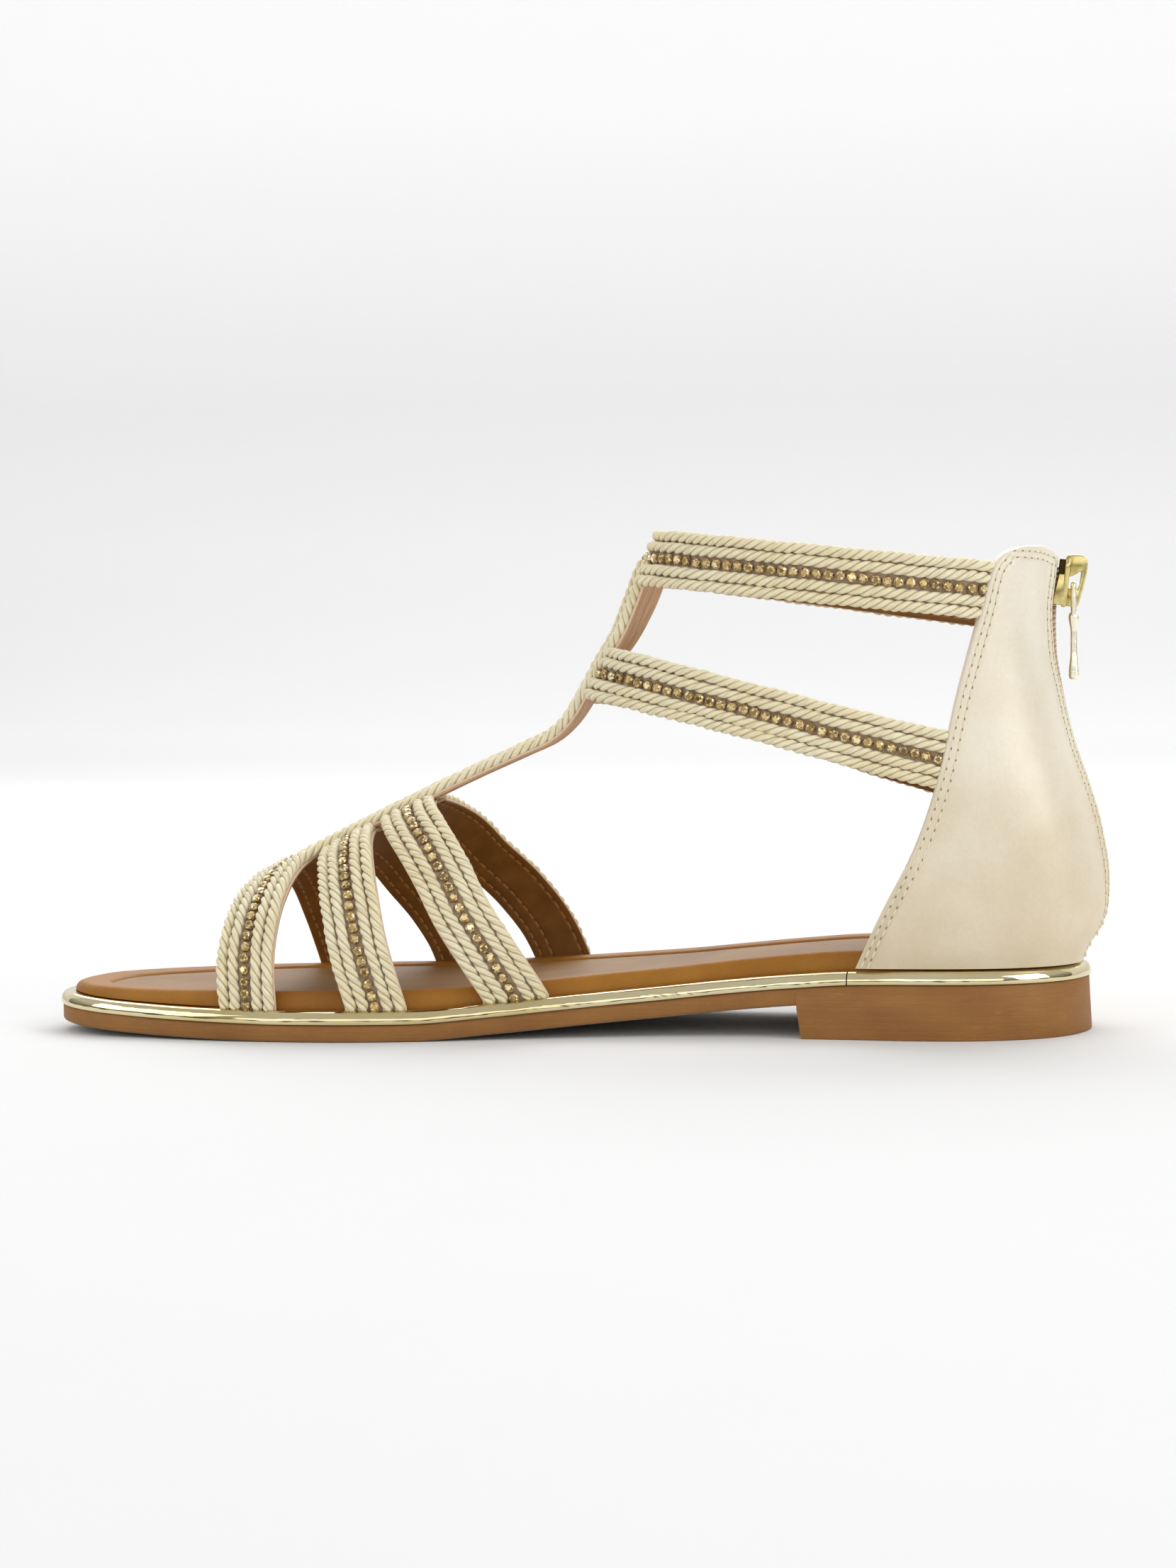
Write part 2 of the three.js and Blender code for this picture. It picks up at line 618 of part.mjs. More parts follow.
function leg(z, angle, side, stand) {
  const small = 0.01;
  const around = legSurface(z, angle + small, side).sub(legSurface(z, angle - small, side));
  const upward = legSurface(z + 1, angle, side).sub(legSurface(z - 1, angle, side));
  const out = point(0, 0, 0).crossVectors(around, upward).multiplyScalar(side).setZ(0).normalize();
  return legSurface(z, angle, side).addScaledVector(out, stand);
}

// Angle at which the leg passes a place along the shoe
function legAngleAt(z, x, side) {
  let [low, high] = [0, Math.PI];
  for (let i = 0; i < 30; i += 1) {
    const middle = (low + high) / 2;
    if (legSurface(z, middle, side).x > x) low = middle;
    else high = middle;
  }
  return (low + high) / 2;
}

// Angle at which a skin outside the leg is a distance from the middle plane, at the back or the instep
function legAngleAcross(z, distance, side, stand, atInstep = false) {
  let [low, high] = [0, Math.PI / 2];
  for (let i = 0; i < 30; i += 1) {
    const middle = (low + high) / 2;
    if (Math.abs(leg(z, atInstep ? Math.PI - middle : middle, side, stand).y) < distance) low = middle;
    else high = middle;
  }
  return atInstep ? Math.PI - low : low;
}

const quarterFrontAt = column(QUARTER_FRONT, "height", "along");
const quarterFront = (z) => quarterFrontAt(z / COLLAR_HEIGHT) * SOLE_LENGTH;

// Sections of half an ankle strap, from the bar back to the quarter's front edge
function ankleSections(strap, side, fromDistance, steps) {
  const lower = side > 0 ? 1 : 0;
  const atBar = (strap.atBar - lower * strap.dropAtBar) * COLLAR_HEIGHT;
  const atQuarter = (strap.atQuarter - lower * strap.dropAtQuarter) * COLLAR_HEIGHT;
  const frontX = barUnder("z", "x", atBar);
  const slope = (atQuarter - atBar) / (quarterFront(atQuarter) - frontX);
  const stretch = Math.hypot(1, slope);
  const start = fromDistance > 0 ? legAngleAcross(atBar, fromDistance, side, 0, true) : Math.PI;
  const heightAt = (x, wide) => atBar + slope * (x - frontX) + wide * stretch;
  const columns = STRAP_SECTION.map(({ x: wide, y: high }) => {
    let z = atQuarter + wide;
    for (let i = 0; i < 6; i += 1) z = heightAt(quarterFront(z), wide);
    return { wide, high, end: legAngleAt(z, quarterFront(z) - 2 * CLEARANCE, side) };
  });
  return Array.from({ length: steps + 1 }, (_, i) => columns.map(({ wide, high, end }) => {
    const angle = mix(start, end, i / steps);
    const x = legSurface(mix(atBar, atQuarter, i / steps) + wide, angle, side).x;
    return leg(heightAt(x, wide), angle, side, high);
  }));
}

const ANKLE_STEPS = 13;
function ankleStrapGeometries() {
  const pieces = [];
  const inner = ankleSections(ANKLE_STRAPS.top, -1, 0, ANKLE_STEPS).reverse();
  const outer = ankleSections(ANKLE_STRAPS.top, 1, 0, ANKLE_STEPS).slice(1);
  pieces.push(loft([...inner, ...outer], STRAP_SECTION));
  for (const side of [-1, 1]) {
    const from = halfStrap - ROPE_DIAMETER / 2;
    pieces.push(loft(ankleSections(ANKLE_STRAPS.middle, side, from, ANKLE_STEPS), STRAP_SECTION));
  }
  return pieces;
}

// Heel counter

const QUARTER_ROWS = 15;
const QUARTER_COLUMNS = 11;

// A quarter's rows lie closer together towards its top and bottom
function quarterGeometry(side) {
  const bottom = randTop(SOLE_LENGTH) + CLEARANCE;
  const loops = Array.from({ length: QUARTER_ROWS + 1 }, (_, row) => {
    const share = (1 - Math.cos((Math.PI * row) / QUARTER_ROWS)) / 2;
    const z = mix(bottom, COLLAR_HEIGHT, share);
    const front = legAngleAt(z, quarterFront(z), side);
    const back = legAngleAcross(z, ZIP_OPENING / 2, side, QUARTER_OUTER);
    const line = (stand) => Array.from({ length: QUARTER_COLUMNS }, (_, i) => {
      return leg(z, mix(front, back, i / (QUARTER_COLUMNS - 1)), side, stand);
    });
    return [...line(QUARTER_OUTER), ...line(QUARTER_STAND_OFF).reverse()];
  });
  const faces = sideFaces(loops);
  const count = loops[0].length;
  const last = (loops.length - 1) * count;
  for (let i = 0; i < QUARTER_COLUMNS - 1; i += 1) {
    const [a, b, c, d] = [i, i + 1, count - 2 - i, count - 1 - i];
    faces.push([a, c, b], [a, d, c], [last + a, last + b, last + c], [last + a, last + c, last + d]);
  }
  return solid(loops.flat(), faces);
}

// Back zip

// A strip down the back line between two stands, centred on the zip; its flat part is a share of its width
const STRIP_FLAT = 0.4;
function backStrip(width, from, to, innerStand, outerStand, rows) {
  const profile = [-1, -STRIP_FLAT, STRIP_FLAT, 1].map((share) => new THREE.Vector2(share, 0));
  const corners = [...profile, ...profile.toReversed().map(({ x }) => new THREE.Vector2(x, 1))];
  const sections = Array.from({ length: rows + 1 }, (_, i) => {
    const z = mix(from, to, i / rows);
    return corners.map(({ x, y }) => {
      const side = x < 0 ? -1 : 1;
      const angle = legAngleAcross(z, (Math.abs(x) * width) / 2, side, outerStand(z));
      return leg(z, angle, side, y > 0 ? outerStand(z) : innerStand(z));
    });
  });
  return loft(sections, corners);
}

const chainProud = column(CHAIN_LINE, "height", "proud");
const tapeOuter = QUARTER_STAND_OFF - TAPE_CLEARANCE;
const TAPE_ROWS = 22;
const CHAIN_ROWS = 28;

function tapeGeometry() {
  const from = footbedTop(SOLE_LENGTH) + CLEARANCE;
  const to = COLLAR_HEIGHT - TAPE_TOP_GAP;
  return backStrip(TAPE_WIDTH, from, to, () => tapeOuter - TAPE_THICKNESS, () => tapeOuter, TAPE_ROWS);
}

function chainGeometry() {
  const from = randTop(SOLE_LENGTH) + 2 * CLEARANCE;
  const to = COLLAR_HEIGHT - CHAIN_TOP_GAP;
  const proud = (z) => chainProud(z / COLLAR_HEIGHT) * CHAIN_PROUD;
  return backStrip(CHAIN_WIDTH, from, to, () => tapeOuter + CLEARANCE, proud, CHAIN_ROWS);
}

// The slider's own frame: origin on the chain's face at the slider's middle, Z along the zip, X outwards
const sliderMiddle = COLLAR_HEIGHT - SLIDER_TOP_GAP - SLIDER_LENGTH / 2;
const sliderLow = leg(sliderMiddle - SLIDER_LENGTH / 2, 0, 1, CHAIN_PROUD);
const sliderHigh = leg(sliderMiddle + SLIDER_LENGTH / 2, 0, 1, CHAIN_PROUD);
const sliderTilt = Math.atan2(sliderHigh.x - sliderLow.x, sliderHigh.z - sliderLow.z);
const sliderPlace = sliderLow.clone().add(sliderHigh).multiplyScalar(0.5);

// Plate over the chain, two flanges beside it, and the bail that the pull hangs in
const PLATE_FACE = CLEARANCE + SLIDER_PLATE;
const BAIL_FOOT = 0.3;
const WINDOW_LOW = -0.14 * SLIDER_LENGTH;
const FLANGE_DEPTH = 2.4;
const OVERLAP = 0.2;

// Shares of the slider's half width and half length at its mouth, waist, shoulder and crown
const MOUTH = 0.8;
const WAIST = 0.86;
const SHOULDER = 0.45;
const CROWN = 0.45;
const FLANGE_SHARE = 0.86;
function sliderGeometry() {
  const half = SLIDER_WIDTH / 2;
  const low = -SLIDER_LENGTH / 2;
  const high = SLIDER_LENGTH / 2;
  const face = new THREE.Shape();
  face.moveTo(-half * MOUTH, low);
  face.lineTo(half * MOUTH, low);
  face.quadraticCurveTo(half * WAIST, 0, half, high * SHOULDER);
  face.quadraticCurveTo(half, high, half * CROWN, high);
  face.lineTo(-half * CROWN, high);
  face.quadraticCurveTo(-half, high, -half, high * SHOULDER);
  face.quadraticCurveTo(-half * WAIST, 0, -half * MOUTH, low);
  const flat = { depth: SLIDER_PLATE, bevelEnabled: false, curveSegments: 4 };
  const plate = new THREE.ExtrudeGeometry(face, flat);
  plate.rotateX(Math.PI / 2);
  plate.rotateZ(Math.PI / 2);
  plate.translate(CLEARANCE, 0, 0);
  const flanges = [-1, 1].map((side) => {
    const deep = FLANGE_DEPTH + PLATE_FACE - OVERLAP;
    const flange = new THREE.BoxGeometry(deep, FLANGE_THICKNESS, SLIDER_LENGTH * FLANGE_SHARE);
    const y = side * (CHAIN_WIDTH / 2 + CLEARANCE + FLANGE_THICKNESS / 2);
    flange.translate(PLATE_FACE - OVERLAP - deep / 2, y, low * (1 - FLANGE_SHARE));
    return flange;
  });
  return join([plate, ...flanges, bailGeometry()]);
}

// The bail: an arch of flat wire over the plate, with a window for the pull's pin
const BAIL_SHOULDER = 0.55;
const BAIL_CORNER = 1.8;
const WINDOW_SHOULDER = 0.48;
const WINDOW_TAPER = 0.6;
function bailGeometry() {
  const low = -SLIDER_LENGTH / 2;
  const high = SLIDER_LENGTH / 2;
  const reach = PLATE_FACE + BAIL_REACH;
  const side = new THREE.Shape();
  side.moveTo(PLATE_FACE - OVERLAP, low + BAIL_FOOT);
  side.lineTo(reach - BAIL_THICKNESS, low + BAIL_FOOT);
  side.quadraticCurveTo(reach, 0, reach, high * BAIL_SHOULDER);
  side.quadraticCurveTo(reach, high, reach - BAIL_CORNER, high);
  side.lineTo(PLATE_FACE - OVERLAP, high - OVERLAP);
  const window = new THREE.Path();
  const inner = reach - BAIL_THICKNESS;
  window.moveTo(PLATE_FACE + BAIL_FOOT, WINDOW_LOW);
  window.lineTo(PLATE_FACE + BAIL_FOOT, high * WINDOW_SHOULDER);
  window.lineTo(inner - OVERLAP, high * WINDOW_SHOULDER);
  window.quadraticCurveTo(inner, 0, inner - WINDOW_TAPER, WINDOW_LOW);
  side.holes.push(window);
  const arch = new THREE.ExtrudeGeometry(side, { depth: BAIL_WIDTH, bevelEnabled: false, curveSegments: 6 });
  arch.rotateX(Math.PI / 2);
  arch.translate(0, BAIL_WIDTH / 2, 0);
  return arch;
}

// The pull's pin lies in the bail's window; the pull hangs straight down from it
const pinIn = CLEARANCE + PULL_PIN / 2;
const pinLocal = point(PLATE_FACE + BAIL_FOOT + pinIn, 0, WINDOW_LOW + pinIn);
const pinPlace = pinLocal.clone().applyAxisAngle(point(0, 1, 0), sliderTilt).add(sliderPlace);

const PULL_CORNERS = 10;
const PULL_SQUARENESS = 0.7;
function pullGeometry() {
  const openWidth = BAIL_WIDTH + 2 * CLEARANCE;
  const outerWidth = openWidth + 2 * PULL_ARM;
  const pin = new THREE.CylinderGeometry(PULL_PIN / 2, PULL_PIN / 2, outerWidth, PULL_CORNERS);
  const arms = [-1, 1].map((side) => {
    const arm = new THREE.BoxGeometry(PULL_PIN, PULL_ARM, PULL_WINDOW + PULL_PIN);
    arm.translate(0, side * (openWidth + PULL_ARM) / 2, -PULL_WINDOW / 2);
    return arm;
  });
  const circle = Array.from({ length: PULL_CORNERS }, (_, i) => {
    const angle = (2 * Math.PI * (i + 0.5)) / PULL_CORNERS;
    const corner = [Math.cos(angle), Math.sin(angle)].map((value) => signedPower(value, PULL_SQUARENESS));
    return new THREE.Vector2(...corner);
  });
  const first = PULL_TAB[0];
  const sections = PULL_TAB.map((row) => {
    const z = -mix(PULL_WINDOW, PULL_LENGTH, (row.along - first.along) / (1 - first.along));
    return circle.map(({ x, y }) => {
      return point((x * row.depth * PULL_DEPTH) / 2, (y * row.width * PULL_TOP_WIDTH) / 2, z);
    });
  });
  return join([pin, ...arms, loft(sections, circle)]);
}

// Finishes
function finish(color, roughness, metalness) {
  return new THREE.MeshStandardMaterial({ color, roughness, metalness });
}
const FINISHES = {
  sole: finish(0xa9784a, 0.6, 0),
  mirror: finish(0xe2cf9a, 0.12, 1),
  pad: finish(0xc08a50, 0.55, 0),
  sock: finish(0x7a5636, 0.4, 0),
  rope: finish(0xe6d7a8, 0.6, 0.1),
  counter: finish(0xefe4cc, 0.35, 0.15),
  tape: finish(0xd9c8a4, 0.8, 0),
  brass: finish(0xd8b65a, 0.22, 1),
};

const sandal = new THREE.Group();
function add(name, geometry, material, place, tilt) {
  const mesh = new THREE.Mesh(geometry, FINISHES[material]);
  mesh.name = name;
  if (place) mesh.position.copy(place);
  if (tilt) mesh.rotation.y = tilt;
  sandal.add(mesh);
}

const [outerJoint, innerJoint] = outlineCrossings(RAND_JOINT);
const jointGap = CLEARANCE / 2 / outline.getLength();
add("outsole", outsoleGeometry(), "sole");
add("rand_fore", randGeometry(innerJoint + jointGap, outerJoint + 1 - jointGap), "mirror");
add("rand_heel", randGeometry(outerJoint + jointGap, innerJoint - jointGap), "mirror");
add("footbed", footbedGeometry(), "pad");
add("sock", sockGeometry(), "sock");
add("strap_upper", join([barGeometry(), ...vampStrapGeometries(), ...ankleStrapGeometries()]), "rope");
add("quarter_inner", quarterGeometry(-1), "counter");
add("quarter_outer", quarterGeometry(1), "counter");
add("zip_tape", tapeGeometry(), "tape");
add("zip_chain", chainGeometry(), "tape");
add("zip_slider", sliderGeometry(), "brass", sliderPlace, sliderTilt);
add("zip_pull", pullGeometry(), "brass", pinPlace);

// The origin lies under the middle of the whole shoe, on the floor
sandal.updateMatrixWorld(true);
const bounds = new THREE.Box3().setFromObject(sandal, true);
const middle = bounds.getCenter(point(0, 0, 0));
sandal.position.set(-middle.x, -middle.y, -bounds.min.z);

export default sandal;
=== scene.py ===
"""Dresses the gladiator sandal: ropes, set stones, stitched heel counter, bright rand and back zip."""

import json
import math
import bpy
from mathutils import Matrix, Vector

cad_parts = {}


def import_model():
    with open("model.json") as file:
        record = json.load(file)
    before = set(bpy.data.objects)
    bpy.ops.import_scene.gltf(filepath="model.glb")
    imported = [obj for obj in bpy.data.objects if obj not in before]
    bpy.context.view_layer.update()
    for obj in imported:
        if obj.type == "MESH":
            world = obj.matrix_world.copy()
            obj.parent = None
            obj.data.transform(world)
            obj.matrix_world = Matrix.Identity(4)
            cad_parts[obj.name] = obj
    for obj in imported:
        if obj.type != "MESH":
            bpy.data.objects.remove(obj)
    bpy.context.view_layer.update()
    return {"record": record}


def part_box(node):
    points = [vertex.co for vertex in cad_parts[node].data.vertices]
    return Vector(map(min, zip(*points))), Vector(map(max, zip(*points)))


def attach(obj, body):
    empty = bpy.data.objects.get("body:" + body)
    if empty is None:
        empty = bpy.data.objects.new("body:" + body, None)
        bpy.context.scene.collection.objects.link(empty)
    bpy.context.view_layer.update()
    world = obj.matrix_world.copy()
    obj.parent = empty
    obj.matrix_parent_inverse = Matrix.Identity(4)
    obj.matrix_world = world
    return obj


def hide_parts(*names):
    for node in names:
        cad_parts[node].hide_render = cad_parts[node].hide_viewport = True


bl_info = {
    "name": "Gladiator Sandal",
    "version": (1, 0, 0),
    "blender": (4, 5, 0),
    "location": "View3D > Sidebar > Sandal",
    "description": "Builds a rope and stone gladiator sandal round its CAD frame",
    "category": "Object",
}

import bmesh
import bpy
import numpy as np
from bpy.props import FloatProperty, FloatVectorProperty, IntProperty, PointerProperty
from mathutils import Matrix, Vector

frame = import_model()
MM = 0.001

# The last: the sole's outline, its lift, the instep ridge, the leg and the straps, in millimetres

SOLE_LENGTH = 250.0
BALL_WIDTH = 84.0
ANKLE_WIDTH = 60.0
COLLAR_HEIGHT = 115.0
BAR_HEIGHT = 120.0
HEEL_SEAT = 13.0
CLEARANCE = 0.3
SOLE_THICKNESS = 4.1
SOLE_SET_IN = 0.5
SOLE_BEVEL = 0.7
HEEL_BREAST = 181.5
HEEL_BREAST_RAKE = 1.2
HEEL_FLARE = 0.6
RAND_WIDTH = 4.5
RAND_HEIGHT = 3.1
RAND_JOINT = 193.5
FOOTBED_SET_IN = 5.1
FOOTBED_SIDE = 4.2
FOOTBED_LIP = 1.5
SOCK_SET_IN = 12.5
ROPE_DIAMETER = 2.75
STONE_ROW = 2.8
STRAP_THICKNESS = 3.2
STRAP_CROWN = 55.0
STRAP_LAP = 1.5
STRAP_FOOT_SET_IN = 1.4
STRAP_FOOT_GAP = 0.5
BAR_CROWN_TOP = 9.5
BAR_CROWN_TOE = 24.0
BAR_OUTER_FALL = 1.9
QUARTER_INNER = 0.6
QUARTER_OUTER = 3.2
ZIP_OPENING = 9.2
SLIDER_LENGTH = 12.7
SLIDER_TOP_GAP = 1.8
CHAIN_TOP_GAP = 4.6
CHAIN_PROUD = 3.9
PULL_WINDOW = 6.4
PULL_LENGTH = 22.5

HALF_STRAP = 2 * ROPE_DIAMETER + STONE_ROW / 2
INNER_ROPE = STONE_ROW / 2 + ROPE_DIAMETER / 2
OUTER_ROPE = STONE_ROW / 2 + 1.5 * ROPE_DIAMETER
ROPE_CENTRE = STRAP_THICKNESS - ROPE_DIAMETER / 2

OUTLINE = {
    "along": (0, 0.012, 0.032, 0.06, 0.1, 0.16, 0.22, 0.3, 0.38, 0.46, 0.56, 0.66, 0.76, 0.84, 0.9, 0.952,
              0.984, 1),
    "inner": (0.165, 0.262, 0.33, 0.378, 0.411, 0.452, 0.476, 0.482, 0.446, 0.387, 0.327, 0.304, 0.321, 0.345,
              0.333, 0.268, 0.167, 0),
    "outer": (-0.165, 0.06, 0.155, 0.24, 0.321, 0.399, 0.452, 0.5, 0.518, 0.5, 0.44, 0.381, 0.351, 0.351,
              0.333, 0.268, 0.167, 0),
}
SOLE_LIFT = {
    "along": (0, 0.06, 0.12, 0.2, 0.24, 0.36, 0.44, 0.52, 0.6, 0.66, 0.72, 0.78, 0.84, 1),
    "lift": (0.29, 0.175, 0.085, 0.02, 0, 0, 0.145, 0.34, 0.54, 0.71, 0.86, 0.97, 1, 1),
    "footbed": (0.5, 0.62, 0.76, 0.93, 0.96, 0.98, 0.92, 0.88, 0.88, 0.92, 0.97, 1, 1, 1),
    "lip": (1, 1, 0.9, 0, 0, 0, 0, 0, 0, 0, 0, 0, 0, 0),
}
BAR_LINE = {
    "along": (0.185, 0.206, 0.242, 0.286, 0.342, 0.4, 0.45, 0.478, 0.494, 0.509, 0.523, 0.54, 0.551, 0.56,
              0.57, 0.583),
    "rise": (0.315, 0.335, 0.37, 0.417, 0.473, 0.53, 0.576, 0.604, 0.637, 0.69, 0.742, 0.804, 0.862, 0.912,
             0.952, 1),
}
LEG = {
    "height": (0.14, 0.18, 0.22, 0.265, 0.32, 0.42, 0.5, 0.605, 0.7, 0.79, 0.86, 0.95, 1.06),
    "back": (0.98, 0.988, 1, 1.0065, 1.008, 1.0015, 0.991, 0.975, 0.965, 0.957, 0.9555, 0.96, 0.965),
    "inner": (0.397, 0.425, 0.44, 0.452, 0.458, 0.458, 0.452, 0.437, 0.427, 0.425, 0.43, 0.438, 0.445),
    "outer": (0.412, 0.43, 0.443, 0.455, 0.46, 0.46, 0.453, 0.437, 0.427, 0.425, 0.43, 0.438, 0.445),
    "round": (2.6, 2.6, 2.5, 2.4, 2.3, 2.25, 2.2, 2.15, 2.1, 2.1, 2.05, 2, 2),
}
LEG_CENTRE = 0.83 * SOLE_LENGTH
BACK_WEDGE = {"depth": 1.5, "start": 2.6, "full": 7.5, "ease": 9.0, "end": 24.0, "foot": 16.0, "grown": 45.0}
QUARTER_FRONT = {
    "height": (0.14, 0.26, 0.395, 0.525, 0.7, 0.875, 0.955, 0.982, 0.995, 1),
    "along": (0.781, 0.807, 0.8385, 0.8585, 0.876, 0.897, 0.9065, 0.915, 0.926, 0.94),
}
VAMP_STRAPS = (
    {"inner": 0.209, "outer": 0.248, "top": 0.228},
    {"inner": 0.332, "outer": 0.366, "top": 0.286},
    {"inner": 0.461, "outer": 0.47, "top": 0.344},
)
LEAN_FRONT = {
    "rise": (0, 0.4, 0.65, 0.85, 0.95, 1),
    "inner": (0, -0.15, -0.05, 0.2, 0.5, 1),
    "outer": (0, 0.55, 0.8, 0.9, 0.95, 1),
}
LEAN_BACK = {
    "rise": (0, 0.2, 0.4, 0.62, 0.8, 1),
    "inner": (0, 0.22, 0.42, 0.6, 0.77, 1),
    "outer": (0, 0.15, 0.36, 0.62, 0.78, 1),
}
VAMP_ROUND = {-1: 2.3, 1: 1.9}
ANKLE_TOP = {"at_bar": 0.986, "at_quarter": 0.911, "drop_at_bar": 0, "drop_at_quarter": 0.023}
ANKLE_MIDDLE = {"at_bar": 0.75, "at_quarter": 0.569, "drop_at_bar": 0.012, "drop_at_quarter": 0.042}
CHAIN_LINE = {"height": (0.15, 0.5, 0.75, 0.9, 1), "proud": (0.58, 0.6, 0.8, 0.93, 0.95)}
PULL_TAB = {
    "along": (0.31, 0.36, 0.44, 0.5, 0.72, 0.86, 0.94, 0.985, 1),
    "width": (4.6, 4.83, 4.37, 3.5, 3.6, 4.5, 5.24, 4.88, 3.68),
    "depth": (2.21, 2.6, 2.08, 1.61, 1.69, 2.29, 2.6, 2.21, 1.3),
}


def column(table, key, name):
    """Smooth line through one column of a table, with no overshoot between its rows."""
    xs, ys = np.array(table[key], float), np.array(table[name], float)
    steps = np.diff(ys) / np.diff(xs)
    before, after = np.concatenate([steps[:1], steps]), np.concatenate([steps, steps[-1:]])
    total = np.where(before * after > 0, before + after, 1)
    slopes = np.where(before * after > 0, 2 * before * after / total, 0)

    def at(value):
        x = np.clip(value, xs[0], xs[-1])
        i = np.clip(np.searchsorted(xs, x) - 1, 0, len(xs) - 2)
        span = xs[i + 1] - xs[i]
        t = (x - xs[i]) / span
        rise = ys[i + 1] - ys[i]
        start, end = slopes[i] * span, slopes[i + 1] * span
        return ys[i] + t * (start + t * (3 * rise - 2 * start - end + t * (start + end - 2 * rise)))

    return at


def mix(a, b, t):
    return a + (b - a) * t


def smoothstep(x, low, high):
    t = np.clip((x - low) / (high - low), 0, 1)
    return t * t * (3 - 2 * t)


def unit(v):
    return v / np.maximum(np.linalg.norm(v, axis=-1, keepdims=True), 1e-12)


def signed_power(value, power):
    return np.sign(value) * np.abs(value) ** power


def centripetal(points, closed):
    """The curve that the CAD runs through a table's points: a function of shares from 0 to 1."""
    points = np.array(points, float)
    count = len(points)
    segments = count if closed else count - 1

    def at(share):
        place = np.atleast_1d(np.asarray(share, float)) * segments
        if closed:
            place = place % segments
        i = np.clip(np.floor(place).astype(int), 0, segments - 1)
        t = (place - i)[:, None]
        if closed:
            p0, p1, p2, p3 = (points[(i + k) % count] for k in (-1, 0, 1, 2))
        else:
            p1, p2 = points[i], points[i + 1]
            p0 = np.where((i > 0)[:, None], points[np.maximum(i - 1, 0)], 2 * p1 - p2)
            p3 = np.where((i + 2 < count)[:, None], points[np.minimum(i + 2, count - 1)], 2 * p2 - p1)
        d0, d1, d2 = (np.maximum(np.sum((b - a) ** 2, axis=1) ** 0.25, 1e-4)[:, None]
                      for a, b in ((p0, p1), (p1, p2), (p2, p3)))
        t1 = ((p1 - p0) / d0 - (p2 - p0) / (d0 + d1) + (p2 - p1) / d1) * d1
        t2 = ((p2 - p1) / d1 - (p3 - p1) / (d1 + d2) + (p3 - p2) / d2) * d1
        return p1 + t * (t1 + t * (-3 * p1 + 3 * p2 - 2 * t1 - t2 + t * (2 * p1 - 2 * p2 + t1 + t2)))

    return at


lift_at = column(SOLE_LIFT, "along", "lift")
footbed_at = column(SOLE_LIFT, "along", "footbed")
lip_at = column(SOLE_LIFT, "along", "lip")
inner_width_at = column(OUTLINE, "along", "inner")
outer_width_at = column(OUTLINE, "along", "outer")


def sole_under(x):
    return lift_at(x / SOLE_LENGTH) * (HEEL_SEAT - SOLE_THICKNESS)


def sole_top(x):
    return sole_under(x) + SOLE_THICKNESS


def rand_top(x):
    return sole_top(x) + CLEARANCE + RAND_HEIGHT


def footbed_top(x):
    return rand_top(x) + footbed_at(x / SOLE_LENGTH) * FOOTBED_SIDE


_outer = [(a * SOLE_LENGTH, o * BALL_WIDTH) for a, o in zip(OUTLINE["along"], OUTLINE["outer"])]
_inner = [(a * SOLE_LENGTH, -i * BALL_WIDTH) for a, i in zip(OUTLINE["along"], OUTLINE["inner"])][1:-1][::-1]
outline = centripetal(_outer + _inner, closed=True)
CAD_OUTLINE_POINTS = 2 * len(_outer + _inner)

# The CAD's origin: the rand's tip is the outline's tip, and the slider lies on the middle plane
_tip = outline(np.arange(CAD_OUTLINE_POINTS) / CAD_OUTLINE_POINTS)[:, 0].min()
_slider_low, _slider_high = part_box("zip_slider")
ORIGIN = np.array([_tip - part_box("rand_fore")[0][0] / MM, -(_slider_low[1] + _slider_high[1]) / 2 / MM, 0.0])


def world(points):
    return (np.asarray(points, float) - ORIGIN) * MM


def outline_at(share, set_in):
    """Places on the outline moved inwards."""
    share = np.atleast_1d(share)
    place = outline(share)
    along = unit(outline(share + 1e-4) - outline(share - 1e-4))
    return place + np.stack([along[:, 1], -along[:, 0]], axis=1) * np.reshape(set_in, (-1, 1))


def ring(shares, set_in, height):
    """A line round the sole; set_in and height may be functions of the place along it."""
    along = outline(shares)[:, 0]
    place = outline_at(shares, np.broadcast_to(set_in(along) if callable(set_in) else set_in, along.shape))
    z = np.broadcast_to(height(place[:, 0]) if callable(height) else height, along.shape)
    return np.column_stack([place, z])


def half_width(x, side):
    return (inner_width_at if side < 0 else outer_width_at)(x / SOLE_LENGTH) * BALL_WIDTH


# The T-bar's line: places at even distances along it, and the line on the last below them
BAR_STEPS = 200
BAR_FINE_STEPS = 4000
_bar_points = [(a * SOLE_LENGTH, r * BAR_HEIGHT) for a, r in zip(BAR_LINE["along"], BAR_LINE["rise"])]
bar_curve = centripetal(_bar_points, closed=False)
_fine_shares = np.linspace(0, 1, BAR_FINE_STEPS)
_fine = bar_curve(_fine_shares)
_reach = np.concatenate([[0], np.cumsum(np.linalg.norm(np.diff(_fine, axis=0), axis=1))])
_shares = np.interp(np.linspace(0, _reach[-1], BAR_STEPS + 1), _reach, _fine_shares)
bar_top = bar_curve(_shares)
bar_along = unit(np.gradient(bar_top, axis=0))
bar_out = np.column_stack([-bar_along[:, 1], bar_along[:, 0]])
bar_under = bar_top - bar_out * STRAP_THICKNESS


def under_z(x):
    return np.interp(x, bar_under[:, 0], bar_under[:, 1])


def under_x(z):
    return np.interp(z, bar_under[:, 1], bar_under[:, 0])


